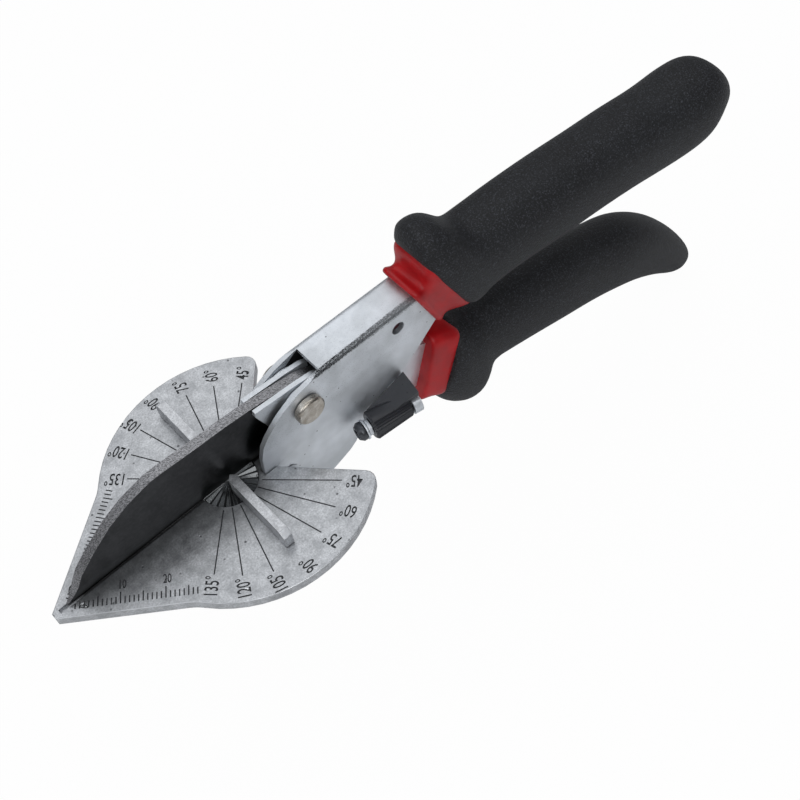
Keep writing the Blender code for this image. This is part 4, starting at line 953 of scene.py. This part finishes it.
def lamp(name, place, size, power):
    """A square softbox that faces the tool."""
    data = bpy.data.lights.new(name, "AREA")
    data.shape = "SQUARE"
    data.size = size
    data.energy = power
    made = bpy.data.objects.new(name, data)
    made.location = place
    made.rotation_euler = (LAMP_TARGET - Vector(place)).to_track_quat("-Z", "Y").to_euler()
    bpy.context.scene.collection.objects.link(made)


def seen_white(tree, output, lit, white, share):
    """Show the camera a white shader, by a share, and light everything else with the other one."""
    rays = add_node(tree, "ShaderNodeLightPath").outputs["Is Camera Ray"]
    mix = add_node(tree, "ShaderNodeMixShader", {0: maths(tree, "MULTIPLY", rays, share), 1: lit, 2: white})
    tree.links.new(mix.outputs["Shader"], tree.nodes[output].inputs["Surface"])


def white_paper():
    """Matt white paper, which the camera sees nearly as plain white."""
    made, tree, shader, _ = new_material("white_paper", "f4f4f4", 0.9)
    white = add_node(tree, "ShaderNodeEmission", inputs={"Color": (1, 1, 1, 1), "Strength": 1.0})
    seen_white(tree, "Material Output", shader.outputs["BSDF"], white.outputs["Emission"], FLOOR_WHITE_SHARE)
    return made


def studio_world():
    """A pale room, darker towards its floor, which the camera sees as plain white."""
    made = bpy.data.worlds.new("studio")
    made.use_nodes = True
    tree = made.node_tree
    height = axes_of(tree, add_node(tree, "ShaderNodeTexCoord").outputs["Generated"])["Z"]
    back = tree.nodes["Background"]
    sky = mixed(tree, ramp(tree, height, 0.30, 0.75, 0.0, 1.0), "3a3b3d", "dfe3e8")
    tree.links.new(sky, back.inputs["Color"])
    back.inputs["Strength"].default_value = SKY_STRENGTH
    white = add_node(tree, "ShaderNodeBackground", inputs={"Color": (1, 1, 1, 1), "Strength": 1.0})
    seen_white(tree, "World Output", back.outputs["Background"], white.outputs["Background"], 1.0)
    return made


class SHEARS_OT_stage(bpy.types.Operator):
    """Set the pale floor, the soft lamps and the camera"""
    bl_idname = "shears.stage"
    bl_label = "Stage"

    def execute(self, context):
        scene = context.scene
        scene.view_settings.view_transform = "Standard"
        deselect()
        bpy.ops.mesh.primitive_plane_add(size=FLOOR_SIZE)
        floor = bpy.context.active_object
        floor.name = "pale_floor"
        floor.data.materials.append(white_paper())
        scene.world = studio_world()
        for softbox in SOFTBOXES:
            lamp(*softbox)

        data = bpy.data.cameras.new("camera")
        data.sensor_width = 36
        data.lens = CAMERA_LENS
        data.clip_start = 0.01
        camera = bpy.data.objects.new("camera", data)
        camera.location = CAMERA_PLACE
        camera.rotation_euler = [math.radians(turn) for turn in CAMERA_TURN]
        scene.collection.objects.link(camera)
        scene.camera = camera
        return {"FINISHED"}


class SHEARS_PT_panel(bpy.types.Panel):
    """Lists the pieces and their settings"""
    bl_idname = "SHEARS_PT_panel"
    bl_label = "Mitre Shears"
    bl_space_type = "VIEW_3D"
    bl_region_type = "UI"
    bl_category = "Shears"

    def draw(self, context):
        column = self.layout.column()
        for group in settings():
            for name in group.__annotations__:
                column.prop(group, name)
        for made in PIECES:
            column.operator(made.bl_idname)


GROUPS = (SHEARS_PG_sizes, SHEARS_PG_colours)
PIECES = (SHEARS_OT_stage, SHEARS_OT_anvil, SHEARS_OT_fence, SHEARS_OT_steelwork, SHEARS_OT_blade,
          SHEARS_OT_grips, SHEARS_OT_lock, SHEARS_OT_spring)


def register():
    """Register the classes and hang the settings on the scene."""
    for made in (*GROUPS, *PIECES, SHEARS_PT_panel):
        bpy.utils.register_class(made)
    bpy.types.Scene.shears_sizes = bpy.props.PointerProperty(type=SHEARS_PG_sizes)
    bpy.types.Scene.shears_colours = bpy.props.PointerProperty(type=SHEARS_PG_colours)


def unregister():
    """Take the settings and the classes away again."""
    del bpy.types.Scene.shears_colours
    del bpy.types.Scene.shears_sizes
    for made in reversed((*GROUPS, *PIECES, SHEARS_PT_panel)):
        bpy.utils.unregister_class(made)


def main():
    """Build everything in order."""
    register()
    bpy.ops.shears.stage()
    bpy.ops.shears.anvil()
    bpy.ops.shears.fence()
    bpy.ops.shears.steelwork()
    bpy.ops.shears.blade()
    bpy.ops.shears.grips()
    bpy.ops.shears.lock()
    bpy.ops.shears.spring()


if __name__ == "__main__":
    main()
